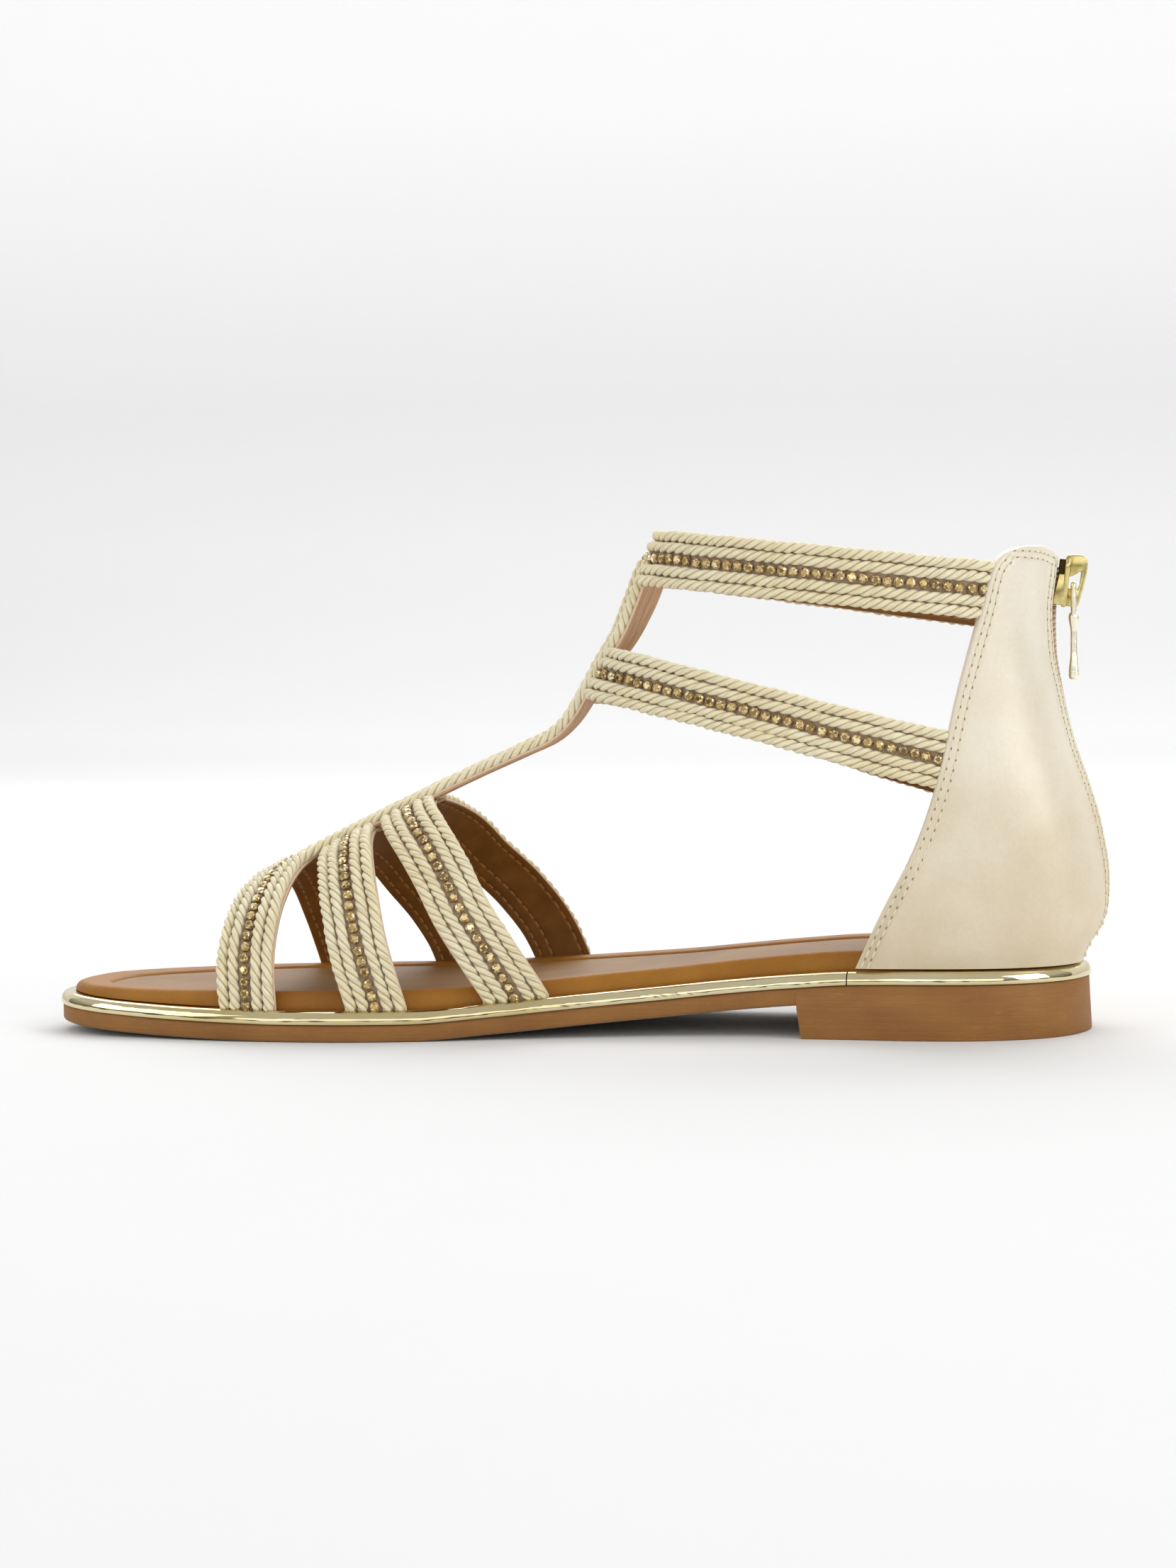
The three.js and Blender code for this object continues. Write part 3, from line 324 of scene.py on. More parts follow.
def vamp(x, around, side, lap):
    """The last over the forefoot: around runs from 0 at the footbed's edge to 1, lap below the ridge."""
    power = 2 / VAMP_ROUND[side]
    width = half_width(x, side) - STRAP_FOOT_SET_IN - STRAP_THICKNESS
    base = rand_top(x) + STRAP_FOOT_GAP
    angle = around * math.pi / 2
    rise = signed_power(np.sin(angle), power)
    y = side * width * signed_power(np.cos(angle), power)
    return np.array([x, y, mix(base, under_z(x) - lap, rise)], float)


leg_back, leg_inner, leg_outer, leg_round = (
    column(LEG, "height", name) for name in ("back", "inner", "outer", "round"))


def back_wedge(z, y):
    """How far the panels beside the zip fall back from the round section, to meet like a bow."""
    wedge, off = BACK_WEDGE, np.abs(y)
    nearby = smoothstep(off, wedge["start"], wedge["full"]) * (1 - smoothstep(off, wedge["ease"], wedge["end"]))
    return wedge["depth"] * nearby * smoothstep(z, wedge["foot"], wedge["grown"])


def leg_surface(z, angle, side):
    share = z / COLLAR_HEIGHT
    power = 2 / leg_round(share)
    width = (leg_inner if side < 0 else leg_outer)(share) * ANKLE_WIDTH
    behind = leg_back(share) * SOLE_LENGTH - LEG_CENTRE
    ahead = LEG_CENTRE - under_x(z)
    reach = np.where(np.cos(angle) > 0, behind, ahead)
    y = side * width * signed_power(np.sin(angle), power)
    x = LEG_CENTRE + reach * signed_power(np.cos(angle), power)
    x = x - np.where(np.cos(angle) > 0, back_wedge(z, y), 0)
    return np.stack(np.broadcast_arrays(x, y, z), axis=-1).astype(float)


def leg_normal(z, angle, side):
    around = leg_surface(z, angle + 0.01, side) - leg_surface(z, angle - 0.01, side)
    upward = leg_surface(z + 1.0, angle, side) - leg_surface(z - 1.0, angle, side)
    out = np.cross(around, upward) * side
    out[..., 2] = 0
    return unit(out)


def leg(z, angle, side, stand):
    return leg_surface(z, angle, side) + leg_normal(z, angle, side) * np.asarray(stand)[..., None]


def bisect(low, high, below):
    """Between low and high, the value up to which below(value) holds; works on arrays."""
    low, high = np.array(low, float), np.array(high, float)
    for _ in range(30):
        middle = (low + high) / 2
        left = below(middle)
        low, high = np.where(left, middle, low), np.where(left, high, middle)
    return (low + high) / 2


def leg_angle_at(z, x, side):
    zeros = np.zeros(np.shape(z))
    return bisect(zeros, zeros + math.pi, lambda a: leg_surface(z, a, side)[..., 0] > x)


def leg_angle_across(z, distance, side, stand, at_instep=False):
    zeros = np.zeros(np.shape(z))
    turn = (lambda a: math.pi - a) if at_instep else (lambda a: a)
    found = bisect(zeros, zeros + math.pi / 2,
                   lambda a: np.abs(leg(z, turn(a), side, stand)[..., 1]) < distance)
    return turn(found)


_quarter_front_at = column(QUARTER_FRONT, "height", "along")


def quarter_front(z):
    return _quarter_front_at(z / COLLAR_HEIGHT) * SOLE_LENGTH


# Bands: the surfaces that the straps lie on

BAND_HALF = HALF_STRAP + 0.45
ACROSS = np.linspace(-BAND_HALF, BAND_HALF, 9)
FOOT_TUCK = 1.1


class Band:
    """A strap's bed: a grid of points and outward directions, along the strap and across it."""

    def __init__(self, grid, normals):
        self.grid = np.array(grid)
        self.normals = unit(np.array(normals))

    def place(self, share, across, high):
        """Points at shares along and millimetres across and above the bed, with the directions outwards."""
        rows = len(self.grid) - 1
        u = np.clip(np.asarray(share, float), 0, 1) * rows
        inside = np.clip(np.asarray(across, float), -BAND_HALF, BAND_HALF)
        v = (inside + BAND_HALF) / (ACROSS[1] - ACROSS[0])
        u, v = np.broadcast_arrays(u, v)
        i = np.clip(np.floor(u).astype(int), 0, rows - 1)
        k = np.clip(np.floor(v).astype(int), 0, len(ACROSS) - 2)
        a, b = (u - i)[..., None], (v - k)[..., None]

        def read(grid):
            return (1 - a) * ((1 - b) * grid[i, k] + b * grid[i, k + 1]) + a * (
                (1 - b) * grid[i + 1, k] + b * grid[i + 1, k + 1])

        out = unit(read(self.normals))
        return read(self.grid) + out * np.asarray(high, float)[..., None], out


def vamp_half(strap, lean, side, until, steps=80):
    """Grid of a forefoot strap's bed on one side, from its foot behind the rand up towards the ridge."""
    word = "inner" if side < 0 else "outer"
    lean_at = column(lean, "rise", word)
    foot = strap[word] * SOLE_LENGTH
    power = 2 / VAMP_ROUND[side]
    lap = STRAP_LAP if until else 0.0

    def at(x, around):
        return vamp(x, around, side, lap)

    def along(around):
        rise = np.sin(min(around, 1) * math.pi / 2) ** power
        return float(mix(foot, strap["top"] * SOLE_LENGTH, lean_at(rise)))

    top = 1.0
    while until and abs(at(along(top), top)[1]) < until:
        top -= 0.002
    grid, normals = [], []
    for i in range(steps + 1):
        around = top * i / steps
        x = along(around)
        low, high = max(around - 0.002, 0), around + 0.002
        path = unit(at(along(high), high) - at(along(low), low))
        up = unit(at(x, high) - at(x, low))
        back = unit(at(x + 1, around) - at(x - 1, around))
        out = unit(np.cross(back, up) * -side)
        across = unit(np.cross(path, out) * -side)
        level = back / max(float(back @ across), 0.3)
        free = float(smoothstep(around, 0, 0.3))
        across = mix(level, across, free)
        grid.append([at(x, around) + across * v - out * (free * v * v / (2 * STRAP_CROWN)) for v in ACROSS])
        normals.append([out + unit(across) * (free * v / STRAP_CROWN) for v in ACROSS])
    tucked = [point - np.array([0, 0, FOOT_TUCK]) for point in grid[0]]
    return [tucked] + grid, [normals[0]] + normals


def ankle_half(strap, side, distance, steps=80):
    """Grid of half an ankle strap's bed, from the bar back to the quarter's front edge."""
    lower = 1 if side > 0 else 0
    at_bar = (strap["at_bar"] - lower * strap["drop_at_bar"]) * COLLAR_HEIGHT
    at_quarter = (strap["at_quarter"] - lower * strap["drop_at_quarter"]) * COLLAR_HEIGHT
    front = under_x(at_bar)
    slope = (at_quarter - at_bar) / (quarter_front(at_quarter) - front)
    stretch = math.hypot(1, slope)
    start = float(leg_angle_across(np.array(at_bar), distance, side, 0.0, True)) if distance else math.pi
    z = at_quarter + ACROSS
    for _ in range(6):
        z = at_bar + slope * (quarter_front(z) - front) + ACROSS * stretch
    end = leg_angle_at(z, quarter_front(z) + 0.5, side)
    grid, normals = [], []
    for i in range(steps + 1):
        angle = mix(start, end, i / steps)
        x = leg_surface(mix(at_bar, at_quarter, i / steps) + ACROSS, angle, side)[..., 0]
        height = at_bar + slope * (x - front) + ACROSS * stretch
        grid.append(leg_surface(height, angle, side))
        normals.append(leg_normal(height, angle, side))
    return grid, normals


def joined(inner, outer):
    """A strap that runs on over the front: the inner half, then the outer half back down."""
    return Band(inner[0] + outer[0][-2::-1], inner[1] + outer[1][-2::-1])


def bar_band():
    share = np.linspace(0, 1, BAR_STEPS + 1)
    crown = mix(BAR_CROWN_TOE, BAR_CROWN_TOP, smoothstep(share, 0.5, 0.9))
    fall = mix(1, BAR_OUTER_FALL, smoothstep(share, 0.6, 0.9))
    grid, normals = [], []
    for i in range(8, BAR_STEPS + 1):
        out = np.array([bar_out[i, 0], 0, bar_out[i, 1]])
        base = np.array([bar_under[i, 0], 0, bar_under[i, 1]])
        bend = np.where(ACROSS > 0, fall[i], 1) / crown[i]
        grid.append([base + np.array([0, v, 0]) - out * v * v * b / 2 for v, b in zip(ACROSS, bend)])
        normals.append([out + np.array([0, v * b, 0]) for v, b in zip(ACROSS, bend)])
    return Band(grid, normals)


def bands():
    """Every strap's bed by name."""
    front = VAMP_STRAPS[0]
    found = {
        "bar": bar_band(),
        "vamp_front": joined(vamp_half(front, LEAN_FRONT, -1, None), vamp_half(front, LEAN_FRONT, 1, None)),
    }
    inner, outer = (ankle_half(ANKLE_TOP, side, 0) for side in (-1, 1))
    found["ankle_top"] = joined((inner[0][::-1], inner[1][::-1]), (outer[0][::-1], outer[1][::-1]))
    for side, word in ((-1, "inner"), (1, "outer")):
        for strap, name in zip(VAMP_STRAPS[1:], ("vamp_middle", "vamp_rear")):
            found[f"{name}_{word}"] = Band(*vamp_half(strap, LEAN_BACK, side, HALF_STRAP - ROPE_DIAMETER / 2))
        found[f"ankle_middle_{word}"] = Band(*ankle_half(ANKLE_MIDDLE, side, HALF_STRAP - ROPE_DIAMETER / 2))
    return found


BANDS = bands()


# Making meshes and pieces


def new_object(name, points, faces, materials, body="sandal", uvs=None, face_materials=None, fields=None,
               sharp=None):
    """A piece from points in millimetres, faces and, per point, uvs and other fields."""
    mesh = bpy.data.meshes.new(name)
    mesh.from_pydata(world(points).tolist(), [], [list(map(int, f)) for f in faces])
    mesh.validate()
    for material in materials:
        mesh.materials.append(material)
    if face_materials is not None:
        mesh.polygons.foreach_set("material_index", np.asarray(face_materials, dtype=np.int32))
    if uvs is not None:
        layer = mesh.uv_layers.new(name="UVMap")
        loops = np.zeros(len(mesh.loops), dtype=np.int32)
        mesh.loops.foreach_get("vertex_index", loops)
        layer.data.foreach_set("uv", np.asarray(uvs, float)[loops].ravel())
    for key, values in (fields or {}).items():
        field = mesh.attributes.new(key, "FLOAT", "POINT")
        field.data.foreach_set("value", np.asarray(values, dtype=np.float32))
    mesh.shade_smooth()
    if sharp is not None:
        mesh.set_sharp_from_angle(angle=math.radians(sharp))
    obj = bpy.data.objects.new(name, mesh)
    bpy.context.collection.objects.link(obj)
    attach(obj, body)
    return obj


class Parts:
    """Collects points and faces of many small things for one mesh."""

    def __init__(self):
        self.points, self.faces, self.uvs, self.fields, self.kinds, self.tones = [], [], [], {}, [], []
        self.count = 0

    def add(self, points, faces, uvs=None, kind=0, tones=None, **fields):
        points = np.asarray(points, float).reshape(-1, 3)
        self.points.append(points)
        self.faces.extend([[int(i) + self.count for i in f] for f in faces])
        self.kinds.extend([kind] * len(faces))
        self.tones.extend([0.0] * len(faces) if tones is None else tones)
        self.uvs.append(np.zeros((len(points), 2)) if uvs is None else np.asarray(uvs, float).reshape(-1, 2))
        for key, values in fields.items():
            self.fields.setdefault(key, []).append(np.broadcast_to(np.asarray(values, float), (len(points),)))
        self.count += len(points)

    def build(self, name, materials, body="sandal", sharp=None):
        fields = {key: np.concatenate(values) for key, values in self.fields.items()}
        obj = new_object(name, np.concatenate(self.points), self.faces, materials, body,
                         np.concatenate(self.uvs), self.kinds, fields, sharp)
        if any(self.tones):
            tone = obj.data.attributes.new("tone", "FLOAT", "FACE")
            tone.data.foreach_set("value", np.asarray(self.tones, dtype=np.float32))
        return obj


def grid_faces(rows, columns, closed=False, flip=False):
    """Four-sided faces of a grid of points; closed joins each row's last point to its first."""
    i, k = np.meshgrid(np.arange(rows - 1), np.arange(columns if closed else columns - 1), indexing="ij")
    nxt = (k + 1) % columns
    row, after = i * columns, (i + 1) * columns
    quads = np.stack([row + k, row + nxt, after + nxt, after + k], axis=-1).reshape(-1, 4)
    return (quads[:, ::-1] if flip else quads).tolist()


def sweep(rings, caps=True):
    """Points and faces of a tube through equal closed rings, wound so that its faces look out."""
    rings = np.asarray(rings, float)
    rows, columns = rings.shape[:2]
    faces = grid_faces(rows, columns, closed=True)
    if caps:
        faces.append(list(range(columns))[::-1])
        faces.append([(rows - 1) * columns + k for k in range(columns)])
    return rings.reshape(-1, 3), faces


def closed_tube(rings):
    """Points and faces of a tube that runs back into its own start."""
    rows, columns = rings.shape[:2]
    last = (rows - 1) * columns
    faces = grid_faces(rows, columns, closed=True)
    faces += [[last + k, last + (k + 1) % columns, (k + 1) % columns, k] for k in range(columns)]
    return rings.reshape(-1, 3), faces


def outward(obj):
    """Turns a closed mesh's faces to look out."""
    work = bmesh.new()
    work.from_mesh(obj.data)
    bmesh.ops.recalc_face_normals(work, faces=work.faces)
    work.to_mesh(obj.data)
    work.free()
    return obj


def resample(points, step, extra=None):
    """Points at even distances along a line, and other rows read at the same places."""
    lengths = np.linalg.norm(np.diff(points, axis=0), axis=1)
    reach = np.concatenate([[0], np.cumsum(lengths)])
    count = max(int(round(reach[-1] / step)), 2)
    at = np.linspace(0, reach[-1], count + 1)
    line = np.column_stack([np.interp(at, reach, points[:, k]) for k in range(3)])
    if extra is None:
        return at, line
    other = np.column_stack([np.interp(at, reach, extra[:, k]) for k in range(extra.shape[1])])
    return at, line, unit(other)


# Finishes


def colour(code):
    """A six-figure colour code as linear red, green, blue, alpha."""
    parts = [int(code[i:i + 2], 16) / 255 for i in (0, 2, 4)]
    return tuple(c / 12.92 if c <= 0.04045 else ((c + 0.055) / 1.055) ** 2.4 for c in parts) + (1.0,)


class Finish:
    """One material and short words for its nodes."""

    def __init__(self, name, rough, metal=0.0, **sockets):
        self.material = bpy.data.materials.new(name)
        self.material.use_nodes = True
        self.tree = self.material.node_tree
        self.shader = self.tree.nodes["Principled BSDF"]
        self.set(Roughness=rough, Metallic=metal, **sockets)
        self.coords = self.tree.nodes.new("ShaderNodeTexCoord")
        self.height = None

    def set(self, **sockets):
        for name, value in sockets.items():
            self.shader.inputs[name.replace("_", " ")].default_value = value

    def link(self, source, target):
        self.tree.links.new(source, target)

    def space(self, scale, source="Object"):
        """Coordinates in millimetres, stretched."""
        node = self.tree.nodes.new("ShaderNodeMapping")
        unit_scale = 1000.0 if source == "Object" else 1.0
        node.inputs["Scale"].default_value = [s * unit_scale for s in scale]
        self.link(self.coords.outputs[source], node.inputs["Vector"])
        return node.outputs["Vector"]

    def noise(self, scale=(1, 1, 1), detail=3.0, rough=0.55, source="Object", distortion=0.0):
        node = self.tree.nodes.new("ShaderNodeTexNoise")
        node.inputs["Scale"].default_value = 1.0
        node.inputs["Detail"].default_value = detail
        node.inputs["Roughness"].default_value = rough
        node.inputs["Distortion"].default_value = distortion
        self.link(self.space(scale, source), node.inputs["Vector"])
        return node.outputs["Fac"]

    def voronoi(self, scale):
        node = self.tree.nodes.new("ShaderNodeTexVoronoi")
        node.inputs["Scale"].default_value = 1.0
        self.link(self.space(scale), node.inputs["Vector"])
        return node.outputs["Distance"]

    def axes(self, vector):
        """The X, Y and Z of a vector."""
        node = self.tree.nodes.new("ShaderNodeSeparateXYZ")
        self.link(vector, node.inputs[0])
        return node.outputs

    def field(self, name):
        node = self.tree.nodes.new("ShaderNodeAttribute")
        node.attribute_name = name
        return node.outputs["Fac"]

    def ramp(self, value, stops):
        """stops are (place, colour code or level)."""
        node = self.tree.nodes.new("ShaderNodeValToRGB")
        elements = node.color_ramp.elements
        while len(elements) < len(stops):
            elements.new(0.5)
        for element, (place, tint) in zip(elements, stops):
            element.position = place
            element.color = colour(tint) if isinstance(tint, str) else (tint, tint, tint, 1)
        self.link(value, node.inputs["Fac"])
        return node.outputs["Color"]

    def blend(self, a, b, amount, mode="MIX"):
        node = self.tree.nodes.new("ShaderNodeMix")
        node.data_type, node.blend_type = "RGBA", mode
        for value, socket in ((a, node.inputs[6]), (b, node.inputs[7]), (amount, node.inputs[0])):
            if isinstance(value, str):
                socket.default_value = colour(value)
            elif isinstance(value, (int, float)):
                socket.default_value = value
            else:
                self.link(value, socket)
        return node.outputs[2]

    def maths(self, operation, a, b=0.0):
        node = self.tree.nodes.new("ShaderNodeMath")
        node.operation = operation
        for value, socket in ((a, node.inputs[0]), (b, node.inputs[1])):
            if isinstance(value, (int, float)):
                socket.default_value = value
            else:
                self.link(value, socket)
        return node.outputs[0]

    def paint(self, value):
        self.link(value, self.shader.inputs["Base Color"])

    def roughness(self, value, low, high):
        node = self.tree.nodes.new("ShaderNodeMapRange")
        node.inputs["To Min"].default_value, node.inputs["To Max"].default_value = low, high
        self.link(value, node.inputs["Value"])
        self.link(node.outputs["Result"], self.shader.inputs["Roughness"])

    def bump(self, value, depth, strength):
        """Adds relief; depth is in millimetres."""
        node = self.tree.nodes.new("ShaderNodeBump")
        node.inputs["Distance"].default_value = depth * MM
        node.inputs["Strength"].default_value = strength
        self.link(value, node.inputs["Height"])
        if self.height is not None:
            self.link(self.height, node.inputs["Normal"])
        self.height = node.outputs["Normal"]
        self.link(self.height, self.shader.inputs["Normal"])


def rope_finish():
    """Silky straw-like yarn: fine fibres along each strand, with painted shade darkening the grooves between
    strands.
    """
    look = Finish("rope_yarn", 0.55, 0.0, Sheen_Weight=0.3, Sheen_Roughness=0.45, Specular_IOR_Level=0.35)
    fibres = look.noise((0.16, 9.0, 1.0), detail=5.0, rough=0.7, source="UV")
    clumps = look.noise((0.5, 1.6, 1.0), detail=3.0, source="UV")
    patches = look.noise((0.06, 0.06, 0.06), detail=2.0)
    base = look.ramp(fibres, ((0.3, "D9CBA0"), (0.5, "EFE6C6"), (0.72, "FDF8E6")))
    base = look.blend(base, look.ramp(clumps, ((0.34, "DDCEA4"), (0.6, "FFFBEA"))), 0.3, "MULTIPLY")
    base = look.blend(base, look.ramp(patches, ((0.35, "EBDDB0"), (0.65, "F8F2DC"))), 0.3)
    # painted shade: the yarn is darkened towards gold-brown where the strands' outline dips into a groove
    painted_groove_shade = look.ramp(look.field("crest"), ((0.0, "B09A66"), (0.1, "D9C998"), (0.3, "FFFFFF")))
    look.paint(look.blend(base, painted_groove_shade, 0.68, "MULTIPLY"))
    look.roughness(fibres, 0.42, 0.68)
    look.bump(fibres, 0.2, 0.9)
    look.bump(clumps, 0.15, 0.5)
    return look.material


def stone_finish():
    """Foil-backed amber glass: each facet painted darker or brighter, as painted shade and painted glints."""
    look = Finish("amber_stone", 0.06, 0.35, Specular_IOR_Level=0.8, Coat_Weight=1.0, Coat_Roughness=0.03)
    shade = look.field("tone")
    # painted glints and shade: the facet tones run from dark brown to near-white
    look.paint(look.ramp(shade, ((0.0, "4E3A1A"), (0.3, "8F7034"), (0.55, "C7A458"), (0.8, "F0DFA2"),
                                 (1.0, "FFFCE6"))))
    look.roughness(look.noise((1.5, 1.5, 1.5), detail=2.0), 0.03, 0.12)
    look.bump(look.noise((2.5, 2.5, 2.5), detail=1.0), 0.02, 0.3)
    return look.material


def cup_finish():
    look = Finish("bronze_cup", 0.4, 0.7)
    wear = look.noise((2.2, 2.2, 2.2), detail=3)
    look.paint(look.ramp(wear, ((0.3, "846C4C"), (0.55, "A38963"), (0.75, "C6AB7D"))))
    look.roughness(wear, 0.3, 0.5)
    look.bump(wear, 0.08, 0.6)
    return look.material


def leather_finish(name, tints, rough, grain, pores=1.6, crease=0.0, metal=0.0, foot=None, **sockets):
    """Leather: mottled colour, fine pores and, if wanted, creases and painted shade darkening it towards its
    foot.
    """
    look = Finish(name, rough, metal, **sockets)
    mottle = look.noise((0.05, 0.05, 0.05), detail=4.0)
    fine = look.noise((1.1, 1.1, 1.1), detail=3.0)
    base = look.ramp(mottle, ((0.3, tints[0]), (0.5, tints[1]), (0.72, tints[2])))
    # painted shade: the colour is multiplied darker from the foot colour low down to white at three quarters of
    # the collar's height
    if foot:
        rise = look.maths("MULTIPLY", look.axes(look.space((1, 1, 1)))["Z"], 1 / COLLAR_HEIGHT)
        base = look.blend(base, look.ramp(rise, ((0.1, foot), (0.75, "FFFFFF"))), 1.0, "MULTIPLY")
    look.paint(look.blend(base, look.ramp(fine, ((0.3, 0.9), (0.7, 1.0))), 0.5, "MULTIPLY"))
    look.roughness(fine, rough - 0.06, rough + 0.08)
    look.bump(look.voronoi((pores, pores, pores)), grain, 0.5)
    if crease:
        look.bump(look.noise((0.45, 0.45, 0.12), detail=4.0, distortion=1.2), crease, 0.6)
    return look.material


TREAD_PITCH = 2.4
LINING_SEAMS = (-5.0, -2.2, 5.2)
SEAM_PITCH = 2.7
THREAD_HALF = 0.24
SEAM_DIP = 1.5


def seams(look):
    """Stitches along a strap's lining, whose uv is in millimetres along and across: thread and dip."""
    place = look.axes(look.coords.outputs["UV"])
    wave = look.maths("SINE", look.maths("MULTIPLY", place["X"], 2 * math.pi / SEAM_PITCH))
    thread, dip = 0.0, 0.0
    for line in LINING_SEAMS:
        distance = look.maths("ABSOLUTE", look.maths("SUBTRACT", place["Y"], line))
        thread = look.maths("MAXIMUM", look.maths("LESS_THAN", distance, THREAD_HALF), thread)
        near = look.maths("SUBTRACT", 1.0, look.maths("MULTIPLY", distance, SEAM_DIP))
        dip = look.maths("MAXIMUM", near, dip)
    return look.maths("MULTIPLY", thread, look.maths("GREATER_THAN", wave, -0.4)), dip


def lining_finish(name, tints, thread_tint=None):
    """Strap lining: smooth leather with stitched lines, or striped cloth where no thread is named."""
    look = Finish(name, 0.55, 0.0, Specular_IOR_Level=0.35)
    mottle = look.noise((0.2, 0.2, 0.2), detail=4.0)
    stripes = look.noise((0.1, 2.4, 1.0), detail=4.0, rough=0.65, source="UV")
    base = look.ramp(mottle if thread_tint else stripes, ((0.3, tints[0]), (0.7, tints[1])))
    look.bump(look.noise((2.0, 2.0, 2.0), detail=3.0), 0.06, 0.6)
    if thread_tint:
        thread, dip = seams(look)
        look.paint(look.blend(base, thread_tint, thread))
        look.bump(look.maths("SUBTRACT", thread, dip), 0.25, 0.8)
        look.roughness(mottle, 0.45, 0.62)
    else:
        look.paint(base)
        look.bump(stripes, 0.3, 0.8)
        look.roughness(stripes, 0.5, 0.7)
    return look.material


def mirror_finish():
    look = Finish("gold_mirror", 0.07, 1.0)
    wave = look.noise((0.05, 0.05, 0.5), detail=2.0, distortion=0.6)
    look.paint(look.ramp(look.noise((0.03, 0.03, 0.03), detail=1.0), ((0.3, "D3C28F"), (0.7, "E3D8B3"))))
    look.roughness(look.noise((0.4, 0.4, 0.4), detail=3.0), 0.03, 0.1)
    look.bump(wave, 0.3, 0.4)
    return look.material


def sole_finish():
    """Tan rubber with fine level scuffs."""
    look = Finish("tan_sole", 0.55, 0.0, Specular_IOR_Level=0.35)
    scuff = look.noise((0.05, 0.05, 2.6), detail=5.0, rough=0.7)
    mottle = look.noise((0.06, 0.06, 0.1), detail=3.0)
    base = look.ramp(mottle, ((0.3, "8B5C2B"), (0.7, "9B6B33")))
    rubbed = look.noise((0.4, 0.4, 5.0), detail=6.0, rough=0.8)
    base = look.blend(base, "BC9160", look.ramp(rubbed, ((0.56, 0.0), (0.72, 0.6))))
    look.paint(look.blend(base, look.ramp(scuff, ((0.35, 0.8), (0.6, 1.0))), 0.7, "MULTIPLY"))
    look.roughness(scuff, 0.48, 0.66)
    look.bump(scuff, 0.12, 0.5)
    return look.material


def tread_finish():
    """The sole's underside: darker rubber with fine cross ribs."""
    look = Finish("ribbed_tread", 0.75, 0.0, Specular_IOR_Level=0.25)
    along = look.axes(look.space((1, 1, 1)))["X"]
    ribs = look.maths("SINE", look.maths("MULTIPLY", along, 2 * math.pi / TREAD_PITCH))
    grain = look.noise((0.8, 0.8, 0.8), detail=3.0)
    look.paint(look.ramp(grain, ((0.3, "7E7468"), (0.7, "978B7C"))))
    look.bump(ribs, 0.4, 0.8)
    look.bump(grain, 0.1, 0.6)
    return look.material


def brass_finish(name, tints, rough):
    look = Finish(name, rough, 1.0)
    haze = look.noise((0.5, 0.5, 0.5), detail=3.0)
    look.paint(look.ramp(haze, ((0.3, tints[0]), (0.7, tints[1]))))
    look.roughness(haze, rough - 0.05, rough + 0.08)
    look.bump(look.noise((3.0, 3.0, 3.0), detail=2.0), 0.03, 0.3)
    return look.material


def tape_finish():
    look = Finish("woven_tape", 0.8, 0.0, Sheen_Weight=0.2)
    weave = look.noise((2.2, 2.2, 5.0), detail=2.0)
    look.paint(look.ramp(weave, ((0.35, "B99F86"), (0.6, "DCC8AE"))))
    look.roughness(weave, 0.7, 0.9)
    look.bump(weave, 0.15, 0.8)
    return look.material


def plain_finish(name, tint, rough):
    look = Finish(name, rough)
    grain = look.noise((1.4, 1.4, 1.4), detail=3.0)
    look.roughness(grain, rough - 0.05, rough + 0.08)
    look.paint(look.blend(tint, look.ramp(grain, ((0.3, 0.86), (0.7, 1.0))), 0.6, "MULTIPLY"))
    look.bump(grain, 0.05, 0.5)
    return look.material


FINISHES = {}


def finish(name):
    """Each finish, made once."""
    makers = {
        "rope": rope_finish,
        "stone": stone_finish,
        "cup": cup_finish,
        "mirror": mirror_finish,
        "sole": sole_finish,
        "tread": tread_finish,
        "brass": lambda: brass_finish("bright_brass", ("BFA75C", "E6DA9E"), 0.16),
        "tape": tape_finish,
        # F2EADB is the painted shade at the counter's foot
        "counter": lambda: leather_finish("champagne_leather", ("DFD5BD", "E6DCC8", "ECE5D4"), 0.38, 0.03, 1.4,
                                          0.05, 0.08, "F2EADB", Coat_Weight=0.1, Coat_Roughness=0.3),
        "counter_lining": lambda: leather_finish("counter_lining", ("B0906C", "BD9C76", "C8A983"), 0.6,
                                                 0.05),
        "pad": lambda: leather_finish("tan_footbed", ("915C17", "9B651B", "A47024"), 0.5, 0.06, 1.5, 0.25,
                                      Specular_IOR_Level=0.28),
        "sock": lambda: leather_finish("brown_sock", ("825C2D", "8E6733", "99723C"), 0.5, 0.05, 1.2, 0.1,
                                       Specular_IOR_Level=0.3),
        "backing": lambda: plain_finish("pink_tan_backing", "E0C4A6", 0.6),
        "bar_lining": lambda: lining_finish("pink_tan_lining", ("B48A66", "DDBB98")),
        "vamp_lining": lambda: lining_finish("brown_lining", ("774F1E", "8B5E27"), "B4824C"),
        "coil": lambda: plain_finish("beige_coil", "CDB296", 0.45),
        # painted shade for the slider's throat
        "dark_brass": lambda: brass_finish("dark_brass", ("2E2412", "4A3B1E"), 0.3),
        # partly the pull's own pale metal, partly a painted highlight: the brass is lightened almost to white
        "pale_brass": lambda: brass_finish("pale_brass", ("F6ECC8", "FFFDF2"), 0.24),
        "thread": lambda: plain_finish("cream_thread", "EDE2C4", 0.55),
        # painted shade for the needle holes
        "hole": lambda: plain_finish("needle_hole", "94865A", 0.8),
        "hair": lambda: plain_finish("loose_fibre", "EADFB8", 0.5),
    }
    if name not in FINISHES:
        FINISHES[name] = makers[name]()
    return FINISHES[name]


# Sizes and colours that a user would change


